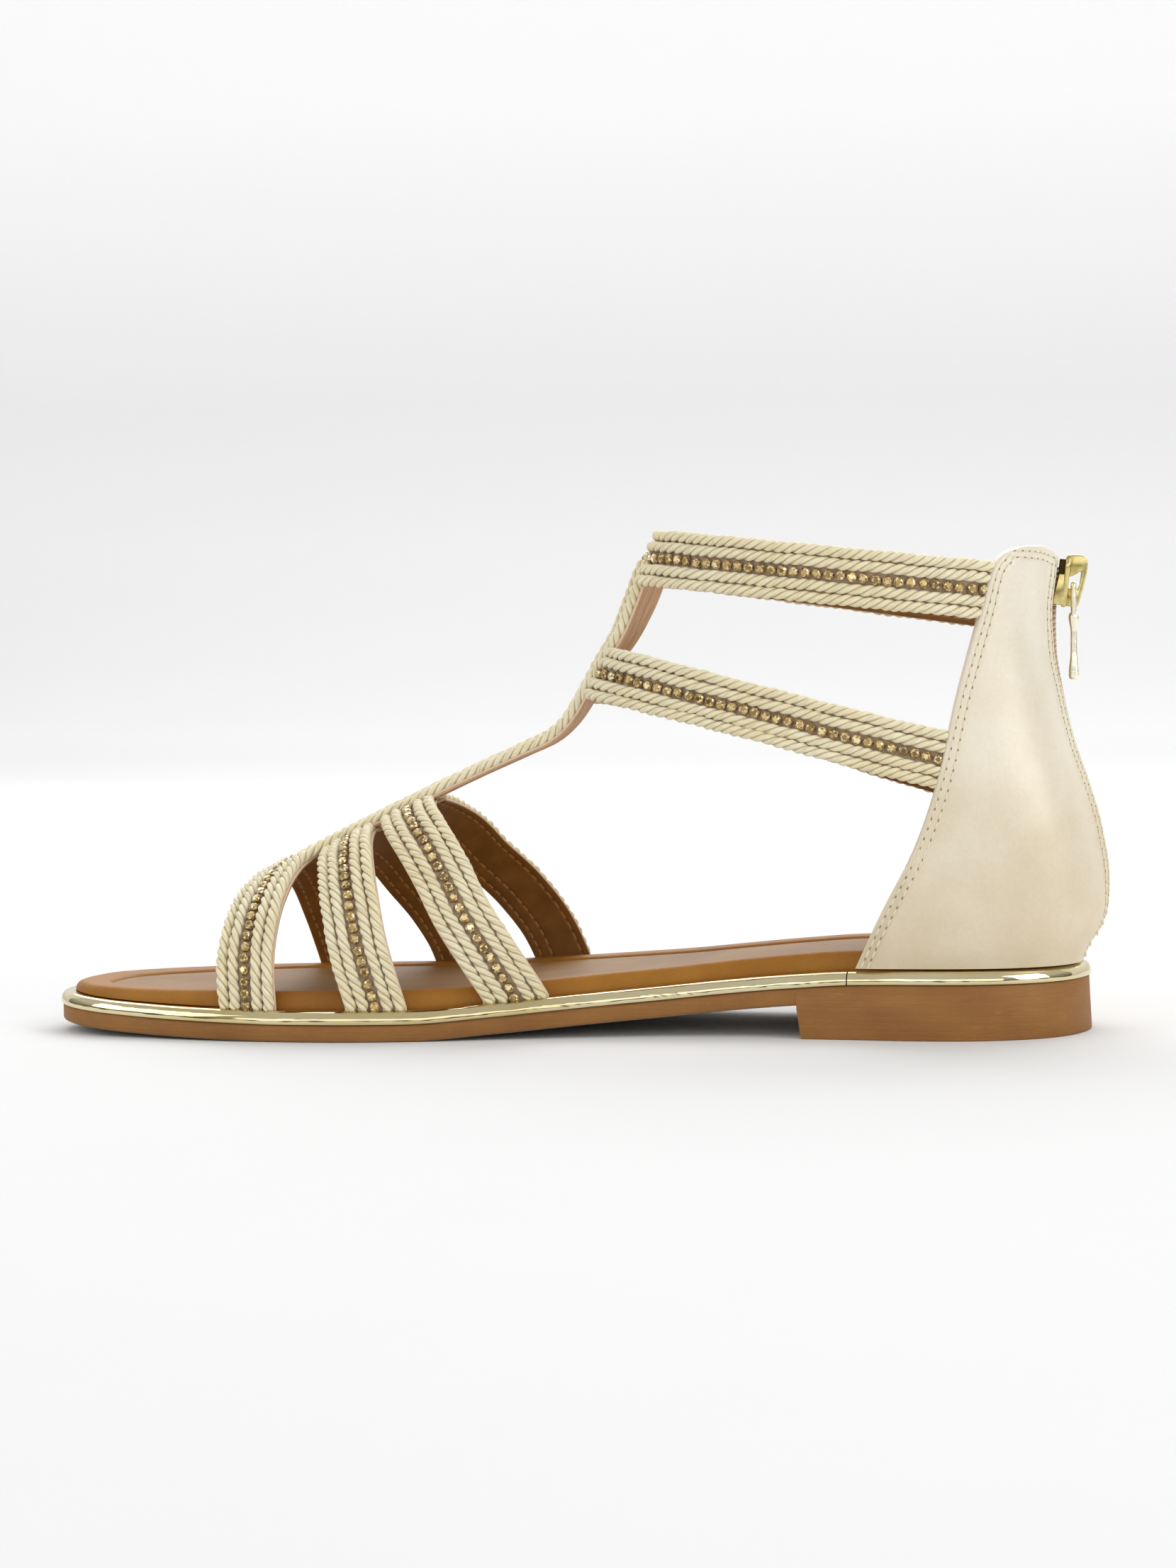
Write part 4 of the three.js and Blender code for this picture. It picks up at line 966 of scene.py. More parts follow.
class SandalSizes(bpy.types.PropertyGroup):
    """Sizes of the rope, stones and stitches."""

    rope_lay: FloatProperty(name="Rope lay", description="Length of one full turn of the rope's strands",
                            default=7.6 * MM, min=0.004, max=0.03, unit="LENGTH", subtype="DISTANCE")
    rope_step: FloatProperty(name="Rope step", description="Distance between rings of the rope's mesh",
                             default=0.5 * MM, min=0.0002, max=0.002, unit="LENGTH", subtype="DISTANCE")
    stone_pitch: FloatProperty(name="Stone pitch", description="Distance from stone to stone",
                               default=2.75 * MM, min=0.002, max=0.006, unit="LENGTH", subtype="DISTANCE")
    stitch_pitch: FloatProperty(name="Stitch pitch", description="Distance from stitch to stitch",
                                default=2.6 * MM, min=0.001, max=0.006, unit="LENGTH", subtype="DISTANCE")
    stray_fibres: IntProperty(name="Stray fibres", description="Number of loose fibres on the ropes",
                              default=420, min=0, max=3000)
    seed: IntProperty(name="Seed", description="Start of the random draws", default=7, min=0, max=9999)


class SandalStage(bpy.types.PropertyGroup):
    """Floor, light and camera."""

    floor_colour: FloatVectorProperty(name="Floor", description="Colour of the floor and the backdrop",
                                      default=(0.77, 0.77, 0.77), min=0, max=1, subtype="COLOR")
    key_power: FloatProperty(name="Overhead light", description="Power of the large light above and behind",
                             default=14.0, min=0, max=200, unit="POWER")
    fill_power: FloatProperty(name="Toe light", description="Power of the light at the toe",
                              default=5.0, min=0, max=200, unit="POWER")
    rim_power: FloatProperty(name="Heel light", description="Power of the light at the heel",
                             default=6.0, min=0, max=200, unit="POWER")
    front_power: FloatProperty(name="Front light", description="Power of the light above the camera",
                               default=4.2, min=0, max=200, unit="POWER")
    lens: FloatProperty(name="Lens", description="Focal length of the camera", default=80.22 * MM,
                        min=0.02, max=0.3, unit="LENGTH", subtype="DISTANCE")


def sizes():
    return bpy.context.scene.sandal_sizes


# Operators: sole


def sole_columns(count):
    """Shares of the outline from toe to heel on the outer side, with a doubled place at the heel's breast."""
    half = np.linspace(0, 0.5, count)
    x = outline(half)[:, 0]
    at = float(np.interp(HEEL_BREAST, x, half))
    shares = np.concatenate([half[half < at - 1e-4], [at], [at], half[half > at + 1e-4]])
    heel = np.arange(len(shares)) > np.searchsorted(half, at - 1e-4)
    return shares, heel


class SANDAL_OT_outsole(bpy.types.Operator):
    """Makes the moulded sole with its heel block"""

    bl_idname = "sandal.outsole"
    bl_label = "Outsole"

    def execute(self, context):
        shares, heel = sole_columns(240)
        loops = []
        for direction in (1, -1):
            at = shares if direction > 0 else 1 - shares
            x = outline(at)[:, 0]
            under = np.where(heel, 0.0, sole_under(x))
            flare = np.where(heel, HEEL_FLARE, 0.0)
            bevel = np.where(heel, SOLE_BEVEL / 2, SOLE_BEVEL)
            rows = []
            for set_in, z in (
                (SOLE_SET_IN + bevel - flare, under),
                (SOLE_SET_IN + bevel * 0.3 - flare, under + bevel * 0.3),
                (SOLE_SET_IN - flare, under + bevel),
                (SOLE_SET_IN - flare * 0.35, mix(under + bevel, sole_top(x) - 0.35, 0.6)),
                (SOLE_SET_IN + 0.0 * x, sole_top(x) - 0.35),
                (SOLE_SET_IN + 0.3 + 0.0 * x, sole_top(x)),
            ):
                place = outline_at(at, set_in)
                breast = HEEL_BREAST + HEEL_BREAST_RAKE * (1 - z / np.maximum(sole_under(x), 1))
                place[:, 0] = np.where(heel, np.maximum(place[:, 0], breast), place[:, 0])
                rows.append(np.column_stack([place, z]))
            loops.append(np.stack(rows, axis=1))
        outer, inner = loops
        count, levels = outer.shape[:2]
        points = np.concatenate([outer.reshape(-1, 3), inner.reshape(-1, 3)])
        faces = grid_faces(count, levels) + [[i + count * levels for i in f]
                                             for f in grid_faces(count, levels, flip=True)]
        for level, flip in ((0, False), (levels - 1, True)):
            for i in range(count - 1):
                a, b = i * levels + level, (i + 1) * levels + level
                quad = [a, b, b + count * levels, a + count * levels]
                faces.append(quad[::-1] if flip else quad)
        obj = new_object("outsole_body", points, faces, [finish("sole")])
        work = bmesh.new()
        work.from_mesh(obj.data)
        bmesh.ops.remove_doubles(work, verts=work.verts, dist=1e-6)
        bmesh.ops.dissolve_degenerate(work, edges=work.edges, dist=1e-6)
        bmesh.ops.recalc_face_normals(work, faces=work.faces)
        work.to_mesh(obj.data)
        work.free()
        obj.data.shade_smooth()
        obj.data.set_sharp_from_angle(angle=math.radians(50))
        obj.data.materials.append(finish("tread"))
        for polygon in obj.data.polygons:
            polygon.material_index = 1 if polygon.normal.z < -0.9 else 0
        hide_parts("outsole")
        return {"FINISHED"}


class SANDAL_OT_rand(bpy.types.Operator):
    """Makes the bright rand in its two lengths"""

    bl_idname = "sandal.rand"
    bl_label = "Rand"

    def section(self):
        """Set in from the outline, and up from the sole: upright below, rounded over above."""
        round_side = [(0.22, 0.0), (0.06, 0.06), (0.0, 0.22)]
        for i in range(17):
            turn = math.pi / 2 * i / 16
            round_side.append((2.1 * (1 - math.cos(turn)), mix(0.7, RAND_HEIGHT, math.sin(turn))))
        return np.array([(RAND_WIDTH, 0.0)] + round_side + [(RAND_WIDTH, RAND_HEIGHT)])

    def execute(self, context):
        half = np.linspace(0, 0.5, 2000)
        outer_joint = float(np.interp(RAND_JOINT, outline(half)[:, 0], half))
        back = np.linspace(0.5, 1, 2000)
        inner_joint = float(np.interp(-RAND_JOINT, -outline(back)[:, 0], back))
        gap = 0.0002
        for name, start, end, steps in (
            ("rand_fore", inner_joint + gap, outer_joint + 1 - gap, 420),
            ("rand_heel", outer_joint + gap, inner_joint - gap, 160),
        ):
            shares = np.linspace(start, end, steps)
            rings = []
            for set_in, up in self.section():
                line = ring(shares, set_in, lambda x, up=up: sole_top(x) + CLEARANCE * 0.4 + up)
                rings.append(line)
            points, faces = sweep(np.stack(rings, axis=1))
            obj = outward(new_object(f"{name}_gilt", points, faces, [finish("mirror")], sharp=50))
            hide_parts(name)
        return {"FINISHED"}


def ring_body(name, rings, material, sharp=50):
    """A closed body from rings round the sole, its ends closed by strips from side to side."""
    rings = np.stack(rings)
    rows, count = rings.shape[:2]
    faces = grid_faces(rows, count, closed=True)
    for row in (0, rows - 1):
        for i in range(count // 2):
            a, b = i, i + 1
            c, d = (count - i - 1) % count, (count - i) % count
            quad = [row * count + k for k in (a, b, c, d)]
            quad = [p for j, p in enumerate(quad) if p not in quad[:j]]
            faces.append(quad)
    obj = new_object(name, rings.reshape(-1, 3), faces, [material], sharp=sharp)
    return outward(obj)


class SANDAL_OT_footbed(bpy.types.Operator):
    """Makes the padded footbed and the sock sunk into it"""

    bl_idname = "sandal.footbed"
    bl_label = "Footbed and sock"

    def execute(self, context):
        shares = np.arange(480) / 480

        def lip(x):
            return FOOTBED_SET_IN - lip_at(x / SOLE_LENGTH) * FOOTBED_LIP

        def low(x):
            return rand_top(x) - 0.05

        rings = [ring(shares, FOOTBED_SET_IN, lambda x: sole_top(x) + CLEARANCE),
                 ring(shares, FOOTBED_SET_IN, low)]
        steps = 10
        for i in range(steps + 1):
            turn = math.pi / 2 * i / steps
            inwards = 2.4 * (1 - math.cos(turn))
            rings.append(ring(shares, lambda x, k=inwards: lip(x) + k,
                              lambda x, s=math.sin(turn): mix(low(x) + 0.05, footbed_top(x), s)))
        for set_in, drop in ((SOCK_SET_IN - 2.2, 0.02), (SOCK_SET_IN - 1.1, 0.16), (SOCK_SET_IN - 0.4, 0.5),
                             (SOCK_SET_IN, 1.3)):
            rings.append(ring(shares, set_in, lambda x, d=drop: footbed_top(x) - d))
        pad = ring_body("footbed_pad", rings, finish("pad"), sharp=60)
        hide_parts("footbed")

        rings = []
        for set_in, drop in ((SOCK_SET_IN - 0.1, 1.35), (SOCK_SET_IN, 0.95), (SOCK_SET_IN + 0.3, 0.75),
                             (SOCK_SET_IN + 1.0, 0.7), (SOCK_SET_IN + 3.0, 0.7)):
            rings.append(ring(shares, set_in, lambda x, d=drop: footbed_top(x) - d))
        sock = ring_body("sock_skin", rings, finish("sock"), sharp=60)
        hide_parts("sock")
        return {"FINISHED"}


# Operators: straps


def band_line(name, across, high, low=0.0, top=1.0, count=240):
    """A line along a strap's bed and the directions outwards from it."""
    return BANDS[name].place(np.linspace(low, top, count), across, np.full(count, high))


def joined_lines(first, second, reach):
    """Two lines run into one with a smooth turn: first ends where second starts."""
    (a, out_a), (b, out_b) = first, second
    start, end = a[-1], b[0]
    from_way, to_way = unit(a[-1] - a[-2]), unit(b[1] - b[0])
    t = np.linspace(0, 1, 24)[1:-1, None]
    size = np.linalg.norm(end - start) * reach
    turn = ((2 * t ** 3 - 3 * t ** 2 + 1) * start + (t ** 3 - 2 * t ** 2 + t) * from_way * size
            + (-2 * t ** 3 + 3 * t ** 2) * end + (t ** 3 - t ** 2) * to_way * size)
    out = unit(mix(out_a[-1], out_b[0], t))
    return np.concatenate([a, turn, b]), np.concatenate([out_a, out, out_b])


def cut_line(line, keep):
    """The part of a line whose points are kept."""
    points, out = line
    kept = keep(points)
    return points[kept], out[kept]


def turning_line(side, across, high):
    """A line up the front strap that turns into the T-bar: a rear rope, or the row of stones."""
    turn = TURNS[across]
    half = band_line("vamp_front", across, high, 0.0, 0.5) if side < 0 else band_line(
        "vamp_front", across, high, 1.0, 0.5)
    up = cut_line(half, lambda p: np.abs(p[:, 1]) > turn["leave"])
    bar = cut_line(band_line("bar", side * across, high, count=400), lambda p: p[:, 0] > turn["meet"])
    return joined_lines(up, bar, 1.1)


# Lines that turn from the front strap into the bar: how far out they leave it, and where they meet the bar
TURNS = {
    OUTER_ROPE: {"leave": 15.0, "meet": 74.0},
    INNER_ROPE: {"leave": 10.0, "meet": 70.0},
    0.0: {"leave": 8.0, "meet": 67.0},
}
STONE_BED = 1.0
TOP_STRAP_MIDDLE = ANKLE_TOP["at_bar"] * COLLAR_HEIGHT
BAR_ROPE_TOP = TOP_STRAP_MIDDLE - 0.4


def rope_lines():
    """Every rope's line, by the part of the upper it belongs to."""
    lines = {"vamp": [], "bar": [], "ankle": []}
    for across in (-OUTER_ROPE, -INNER_ROPE):
        lines["vamp"].append(band_line("vamp_front", across, ROPE_CENTRE, count=400))
    for side in (-1, 1):
        for across in (OUTER_ROPE, INNER_ROPE):
            line = turning_line(side, across, ROPE_CENTRE)
            lines["bar"].append(cut_line(line, lambda p: p[:, 2] < BAR_ROPE_TOP))
    for word in ("inner", "outer"):
        for name in ("vamp_middle", "vamp_rear"):
            for across in (-OUTER_ROPE, -INNER_ROPE, INNER_ROPE, OUTER_ROPE):
                lines["vamp"].append(band_line(f"{name}_{word}", across, ROPE_CENTRE))
        for across in (-OUTER_ROPE, -INNER_ROPE, INNER_ROPE, OUTER_ROPE):
            lines["ankle"].append(band_line(f"ankle_middle_{word}", across, ROPE_CENTRE))
    for across in (INNER_ROPE, OUTER_ROPE):
        lines["ankle"].append(band_line("ankle_top", across, ROPE_CENTRE, count=500))
    for across in (-OUTER_ROPE, -INNER_ROPE):
        whole = band_line("ankle_top", across, ROPE_CENTRE, count=500)
        for side in (-1, 1):
            lines["ankle"].append(cut_line(whole, lambda p, s=side: p[:, 1] * s > HALF_STRAP - 1.0))
    return lines


STRAND_SIDES = 9
STRAND_RADIUS = 0.76
STRAND_OFFSET = 0.635
END_ROUND = 1.1


def strand_profile():
    """Turn, reach and crest of a three-strand rope's outline, as strand circles seen from its middle."""
    sides = 3 * STRAND_SIDES
    turn = 2 * math.pi * np.arange(sides) / sides
    near = (turn + math.pi / 3) % (2 * math.pi / 3) - math.pi / 3
    reach = STRAND_OFFSET * np.cos(near) + np.sqrt(
        np.maximum(STRAND_RADIUS ** 2 - (STRAND_OFFSET * np.sin(near)) ** 2, 0))
    crest = (reach - reach.min()) / (reach.max() - reach.min())
    return turn, reach, crest


class SANDAL_OT_ropes(bpy.types.Operator):
    """Makes the twisted ropes of all the straps"""

    bl_idname = "sandal.ropes"
    bl_label = "Ropes"

    def execute(self, context):
        draws = np.random.default_rng(sizes().seed)
        lay = sizes().rope_lay / MM
        turn, reach, crest = strand_profile()
        strand = np.floor((turn + math.pi / 3) / (2 * math.pi / 3)).astype(int) % 3
        for group, lines in rope_lines().items():
            parts = Parts()
            for points, out in lines:
                at, line, up = resample(points, sizes().rope_step / MM, out)
                way = unit(np.gradient(line, axis=0))
                up = unit(up - way * np.sum(up * way, axis=1, keepdims=True))
                side = np.cross(way, up)
                wave = draws.uniform(0, 2 * math.pi, 6)
                sway = 0.07 * np.sin(at / 2.9 + wave[3]) + 0.05 * np.sin(at / 1.3 + wave[4])
                line = line + sway[:, None] * side + 0.05 * np.sin(at / 2.1 + wave[5])[:, None] * up
                pull = 0.4 * np.sin(at / 7.3 + wave[0]) + 0.22 * np.sin(at / 3.1 + wave[1])
                twist = -2 * math.pi * at / lay + pull + wave[2]
                swell = 1 + 0.02 * np.sin(at / 4.7 + wave[1])[:, None]
                swell = swell + 0.035 * np.sin(at[:, None] * 1.9 + wave[3 + strand][None, :])
                swell = swell + draws.normal(0, 0.008, (len(at), len(turn)))
                left = np.clip(np.minimum(at, at[-1] - at) / END_ROUND, 0, 1)
                swell = swell * np.sqrt(np.clip(1 - (1 - left) ** 2, 0.04, 1))[:, None]
                angle = twist[:, None] + turn[None, :]
                radius = reach[None, :] * swell
                rings = (line[:, None] + (np.cos(angle) * radius)[..., None] * up[:, None]
                         + (np.sin(angle) * radius)[..., None] * side[:, None])
                mesh_points, faces = sweep(rings)
                across = (turn * 3 / (2 * math.pi))[None, :]
                uv = np.stack(np.broadcast_arrays(at[:, None], across), axis=-1)
                uv = uv + np.array([draws.uniform(0, 500), draws.uniform(0, 50)])
                # crest feeds the rope's painted groove shade
                parts.add(mesh_points, faces, uvs=uv, crest=np.tile(crest, len(at)))
            obj = parts.build(f"ropes_{group}", [finish("rope")], sharp=75)
            if group == "bar":
                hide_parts("strap_upper")
        return {"FINISHED"}


FIBRE_CORNERS = (0, 2.09, 4.19)


class SANDAL_OT_stray_fibres(bpy.types.Operator):
    """Adds loose fibres that stand off the ropes"""

    bl_idname = "sandal.stray_fibres"
    bl_label = "Stray fibres"

    def execute(self, context):
        draws = np.random.default_rng(sizes().seed + 1)
        lines = [line for group in rope_lines().values() for line in group]
        lengths = np.array([np.sum(np.linalg.norm(np.diff(p, axis=0), axis=1)) for p, _ in lines])
        parts = Parts()
        for which in draws.choice(len(lines), sizes().stray_fibres, p=lengths / lengths.sum()):
            points, out = lines[which]
            i = int(draws.integers(2, len(points) - 3))
            way = unit(points[i + 1] - points[i - 1])
            side = np.cross(way, out[i])
            lean = draws.uniform(-1.1, 1.1)
            away = unit(math.cos(lean) * out[i] + math.sin(lean) * side)
            root = points[i] + away * ROPE_DIAMETER * 0.47
            reach, drift = draws.uniform(0.8, 2.6), draws.uniform(-1, 1, 2)
            rings = []
            for t in np.linspace(0, 1, 5):
                centre = root + way * reach * t * drift[0] + away * reach * 0.5 * math.sin(t * 2.2) * t
                centre = centre + side * reach * 0.5 * drift[1] * t * t
                thick = 0.045 * (1 - 0.6 * t)
                rings.append([centre + thick * (math.cos(a) * away + math.sin(a) * side)
                              for a in FIBRE_CORNERS])
            mesh_points, faces = sweep(rings)
            parts.add(mesh_points, faces)
        obj = parts.build("rope_stray_fibres", [finish("hair")])
        return {"FINISHED"}


def stone_lines():
    lines = [turning_line(side, 0.0, STONE_BED) for side in (-1, 1)]
    lines[0] = cut_line(lines[0], lambda p: p[:, 2] < TOP_STRAP_MIDDLE - STONE_ROW / 2 - 0.9)
    lines[1] = cut_line(lines[1], lambda p: p[:, 1] > 2.2)
    for word in ("inner", "outer"):
        for name in ("vamp_middle", "vamp_rear", "ankle_middle"):
            lines.append(band_line(f"{name}_{word}", 0.0, STONE_BED))
    lines.append(band_line("ankle_top", 0.0, STONE_BED, count=500))
    return lines


def stone_mesh(draws):
    """A round cut stone: girdle, crown facets and a flat table, with a random tone for each facet that paints
    its shade and glint.
    """
    sides = 8
    start = draws.uniform(0, math.pi / sides)
    levels = ((1.2, 0.9), (1.24, 1.15), (0.98, 1.6), (0.56, 1.88))
    points = [(r * math.cos(start + 2 * math.pi * (k + (j % 2) * 0.5) / sides),
               r * math.sin(start + 2 * math.pi * (k + (j % 2) * 0.5) / sides), z)
              for j, (r, z) in enumerate(levels) for k in range(sides)]
    faces = []
    for j in range(len(levels) - 1):
        for k in range(sides):
            a, b = j * sides + k, j * sides + (k + 1) % sides
            c, d = a + sides, b + sides
            faces.extend([[a, b, c], [b, d, c]] if j % 2 == 0 else [[a, b, d], [a, d, c]])
    faces.append([(len(levels) - 1) * sides + k for k in range(sides)])
    # painted glints and shade: a random brightness for each facet
    tones = np.clip(draws.beta(0.9, 1.1, len(faces)) * 0.8 + draws.uniform(0.0, 0.25), 0.02, 1)
    return np.array(points), faces, tones.tolist()


def cup_mesh():
    """A round cup with four claws, open at the top."""
    sides = 16
    points, faces = [], []
    levels = ((1.0, 0.2), (1.25, 0.5), (1.36, 1.0), (1.34, 1.16), (1.22, 1.14), (1.1, 0.9))
    for j, (r, z) in enumerate(levels):
        for k in range(sides):
            claw = 0.3 * max(math.cos(4 * 2 * math.pi * k / sides), 0) if j in (3, 4) else 0
            angle = 2 * math.pi * k / sides
            points.append(((r - claw * 0.6) * math.cos(angle), (r - claw * 0.6) * math.sin(angle), z + claw))
    faces = grid_faces(len(levels), sides, closed=True)
    faces.append(list(range(sides))[::-1])
    faces.append([(len(levels) - 1) * sides + k for k in range(sides)])
    return np.array(points), faces


class SANDAL_OT_stones(bpy.types.Operator):
    """Sets the rows of stones in their cups"""

    bl_idname = "sandal.stones"
    bl_label = "Stones and cups"

    def execute(self, context):
        draws = np.random.default_rng(sizes().seed + 2)
        stones, cups = Parts(), Parts()
        cup_points, cup_faces = cup_mesh()
        for points, out in stone_lines():
            at, line, up = resample(points, sizes().stone_pitch / MM, out)
            way = unit(np.gradient(line, axis=0))
            for i in range(len(at) - 1):
                centre = (line[i] + line[i + 1]) / 2
                z_way = unit(up[i] + draws.normal(0, 0.07, 3))
                x_way = unit(way[i] - z_way * (way[i] @ z_way))
                basis = np.stack([x_way, np.cross(z_way, x_way), z_way])
                stone_points, stone_faces, tones = stone_mesh(draws)
                centre = centre + draws.normal(0, 0.05, 3)
                stones.add(centre + stone_points @ basis, stone_faces, tones=tones)
                cups.add(centre + cup_points @ basis, cup_faces)
        stone_row = stones.build("stone_rows", [finish("stone")], sharp=5)
        cup_row = cups.build("stone_cups", [finish("cup")], sharp=40)
        return {"FINISHED"}


def strap_slab(parts, name, low, high, edge, beyond):
    """Adds a rounded slab along a strap's bed; beyond is how far it stands past the ropes."""
    band = BANDS[name]
    rows = 161 if name in ("vamp_front", "ankle_top", "bar") else 91
    share = np.linspace(0, 1, rows)
    half = HALF_STRAP + beyond
    profile = []
    for i in range(7):
        turn = math.pi / 2 * i / 6
        profile.append((half - edge * (1 - math.sin(turn)), low + edge * (1 - math.cos(turn))))
    for i in range(7):
        turn = math.pi / 2 * i / 6
        profile.append((half - edge * (1 - math.cos(turn)), high - edge * (1 - math.sin(turn))))
    across = np.linspace(half - edge, -(half - edge), 16)[1:-1]
    section = profile + [(a, high) for a in across] + [(-a, h) for a, h in profile[::-1]] + [
        (-a, low) for a in across]
    rings = np.stack([band.place(share, np.full(rows, a), np.full(rows, h))[0] for a, h in section], axis=1)
    points, faces = sweep(rings)
    middle = band.place(share, np.zeros(rows), np.zeros(rows))[0]
    reach = np.concatenate([[0], np.cumsum(np.linalg.norm(np.diff(middle, axis=0), axis=1))])
    places = np.array([a for a, _ in section])
    uvs = np.stack(np.broadcast_arrays(reach[:, None], places[None, :]), axis=-1)
    parts.add(points, faces, uvs=uvs)


BAR_LINING_LOW = 0.35
ANKLE_PAST_ROPES = -0.35
VAMP_PAST_ROPES = 0.1


class SANDAL_OT_strap_bases(bpy.types.Operator):
    """Makes the straps' backing, with their linings on the side of the foot"""

    bl_idname = "sandal.strap_bases"
    bl_label = "Strap bases"

    def execute(self, context):
        backing, bar_lining, vamp_lining = Parts(), Parts(), Parts()
        for name in BANDS:
            low = BAR_LINING_LOW if name == "bar" else 0.0
            past_ropes = ANKLE_PAST_ROPES if "ankle" in name else VAMP_PAST_ROPES
            strap_slab(backing, name, low + 0.32, low + 0.9, 0.25, past_ropes)
            strap_slab(bar_lining if name == "bar" else vamp_lining, name, low, low + 0.34, 0.15,
                       past_ropes - 0.1)
        for parts, name, look in (
            (backing, "strap_backing", "backing"),
            (bar_lining, "bar_lining", "bar_lining"),
            (vamp_lining, "strap_lining", "vamp_lining"),
        ):
            obj = outward(parts.build(name, [finish(look)], sharp=60))
        return {"FINISHED"}


# Operators: heel counter


QUARTER_CORNER = {"across": 6.0, "down": 4.0}


class Quarter:
    """One side of the heel counter, unrolled: rows of height, with the distance round each row."""

    ROWS, COLUMNS = 140, 90

    def __init__(self, side):
        self.side = side
        bottom = rand_top(SOLE_LENGTH) + CLEARANCE
        turn = np.linspace(0, math.pi, self.ROWS)
        self.z = mix(bottom, COLLAR_HEIGHT, (1 - np.cos(turn)) / 2)
        front = leg_angle_at(self.z, quarter_front(self.z), side)
        corner = np.clip((self.z - COLLAR_HEIGHT) / QUARTER_CORNER["down"] + 1, 0, 1)
        reach = ZIP_OPENING / 2 + QUARTER_CORNER["across"] * (1 - np.sqrt(1 - corner ** 2))
        back = leg_angle_across(self.z, reach, side, QUARTER_OUTER)
        shares = np.linspace(0, 1, self.COLUMNS)
        self.angle = mix(front[:, None], back[:, None], shares[None, :])
        height = np.broadcast_to(self.z[:, None], self.angle.shape)
        self.base = leg_surface(height, self.angle, side)
        self.normal = leg_normal(height, self.angle, side)
        skin = self.base + self.normal * QUARTER_OUTER
        steps = np.linalg.norm(np.diff(skin, axis=1), axis=2)
        reach = np.concatenate([np.zeros((self.ROWS, 1)), np.cumsum(steps, axis=1)], axis=1)
        middle_angle = self.angle[0].mean()
        middle = np.array([np.interp(middle_angle, a[::-1], r[::-1]) for a, r in zip(self.angle, reach)])
        self.reach = reach - middle[:, None]

    def skin(self, stand):
        return self.base + self.normal * stand[..., None]

    def edge(self):
        """The outline of the unrolled quarter: up the front, along the top and down the zip."""
        front = np.column_stack([self.reach[:, 0], self.z])
        top = np.column_stack([self.reach[-1, 1:-1], np.full(self.COLUMNS - 2, self.z[-1])])
        back = np.column_stack([self.reach[:, -1], self.z])[::-1]
        return np.concatenate([front, top, back])

    def at(self, flat, stand):
        """Places and directions outwards on the skin from unrolled places."""
        found, ways = [], []
        for across, height in flat:
            i = int(np.clip(np.searchsorted(self.z, height) - 1, 0, self.ROWS - 2))
            t = (height - self.z[i]) / (self.z[i + 1] - self.z[i])
            rows = []
            for r in (i, i + 1):
                point = [np.interp(across, self.reach[r], self.base[r, :, k] + self.normal[r, :, k] * stand)
                         for k in range(3)]
                way = [np.interp(across, self.reach[r], self.normal[r, :, k]) for k in range(3)]
                rows.append((np.array(point), np.array(way)))
            found.append(mix(rows[0][0], rows[1][0], t))
            ways.append(unit(mix(rows[0][1], rows[1][1], t)))
        return np.array(found), np.array(ways)


QUARTERS = {-1: Quarter(-1), 1: Quarter(1)}
STITCH_ROWS = (1.3, 2.8)


def distance_to_line(points, line):
    """How far each flat point is from a flat line."""
    a, b = line[:-1], line[1:]
    along = b - a
    size = np.maximum(np.sum(along ** 2, axis=1), 1e-9)
    t = np.clip(np.sum((points[:, None] - a[None]) * along[None], axis=2) / size, 0, 1)
    near = a[None] + along[None] * t[..., None]
    return np.sqrt(np.min(np.sum((points[:, None] - near) ** 2, axis=2), axis=1))


def inset_line(edge, inset):
    """A line inside an edge at a steady distance, with its crossings at corners left out."""
    fine = resample(np.column_stack([edge, np.zeros(len(edge))]), 0.3)[1][:, :2]
    way = unit(np.gradient(fine, axis=0))
    moved = fine + np.column_stack([way[:, 1], -way[:, 0]]) * inset
    keep = distance_to_line(moved, fine) > inset * 0.985
    return moved[keep]


class SANDAL_OT_quarters(bpy.types.Operator):
    """Makes the two quarters of the heel counter with their linings"""

    bl_idname = "sandal.quarters"
    bl_label = "Quarters"

    def execute(self, context):
        for side, name in ((-1, "quarter_inner"), (1, "quarter_outer")):
            quarter = QUARTERS[side]
            edge = quarter.edge()
            flat = np.stack([quarter.reach, np.broadcast_to(quarter.z[:, None], quarter.reach.shape)], axis=-1)
            margin = distance_to_line(flat.reshape(-1, 2), edge).reshape(quarter.reach.shape)
            turned = np.sqrt(np.clip(1 - (1 - np.clip(margin / 1.1, 0, 1)) ** 2, 0, 1))
            channel = sum(np.exp(-((margin - row) / 0.42) ** 2) for row in STITCH_ROWS)
            outer = quarter.skin(QUARTER_OUTER - 0.75 * (1 - turned) - 0.13 * channel)
            inner = quarter.skin(QUARTER_INNER + 0.25 * (1 - turned))
            count = outer.shape[0] * outer.shape[1]
            rows, columns = outer.shape[:2]
            faces = grid_faces(rows, columns)
            kinds = [0] * len(faces)
            lining = [[i + count for i in f] for f in grid_faces(rows, columns, flip=True)]
            faces += lining
            kinds += [1] * len(lining)
            loop = ([r * columns for r in range(rows)]
                    + [(rows - 1) * columns + k for k in range(1, columns)]
                    + [r * columns + columns - 1 for r in range(rows - 2, -1, -1)]
                    + list(range(columns - 2, 0, -1)))
            for a, b in zip(loop, loop[1:] + loop[:1]):
                faces.append([a, b, b + count, a + count])
                kinds.append(0)
            points = np.concatenate([outer.reshape(-1, 3), inner.reshape(-1, 3)])
            obj = new_object(f"{name}_panel", points, faces, [finish("counter"), finish("counter_lining")],
                             face_materials=kinds, sharp=60)
            outward(obj)
            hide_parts(name)
        return {"FINISHED"}


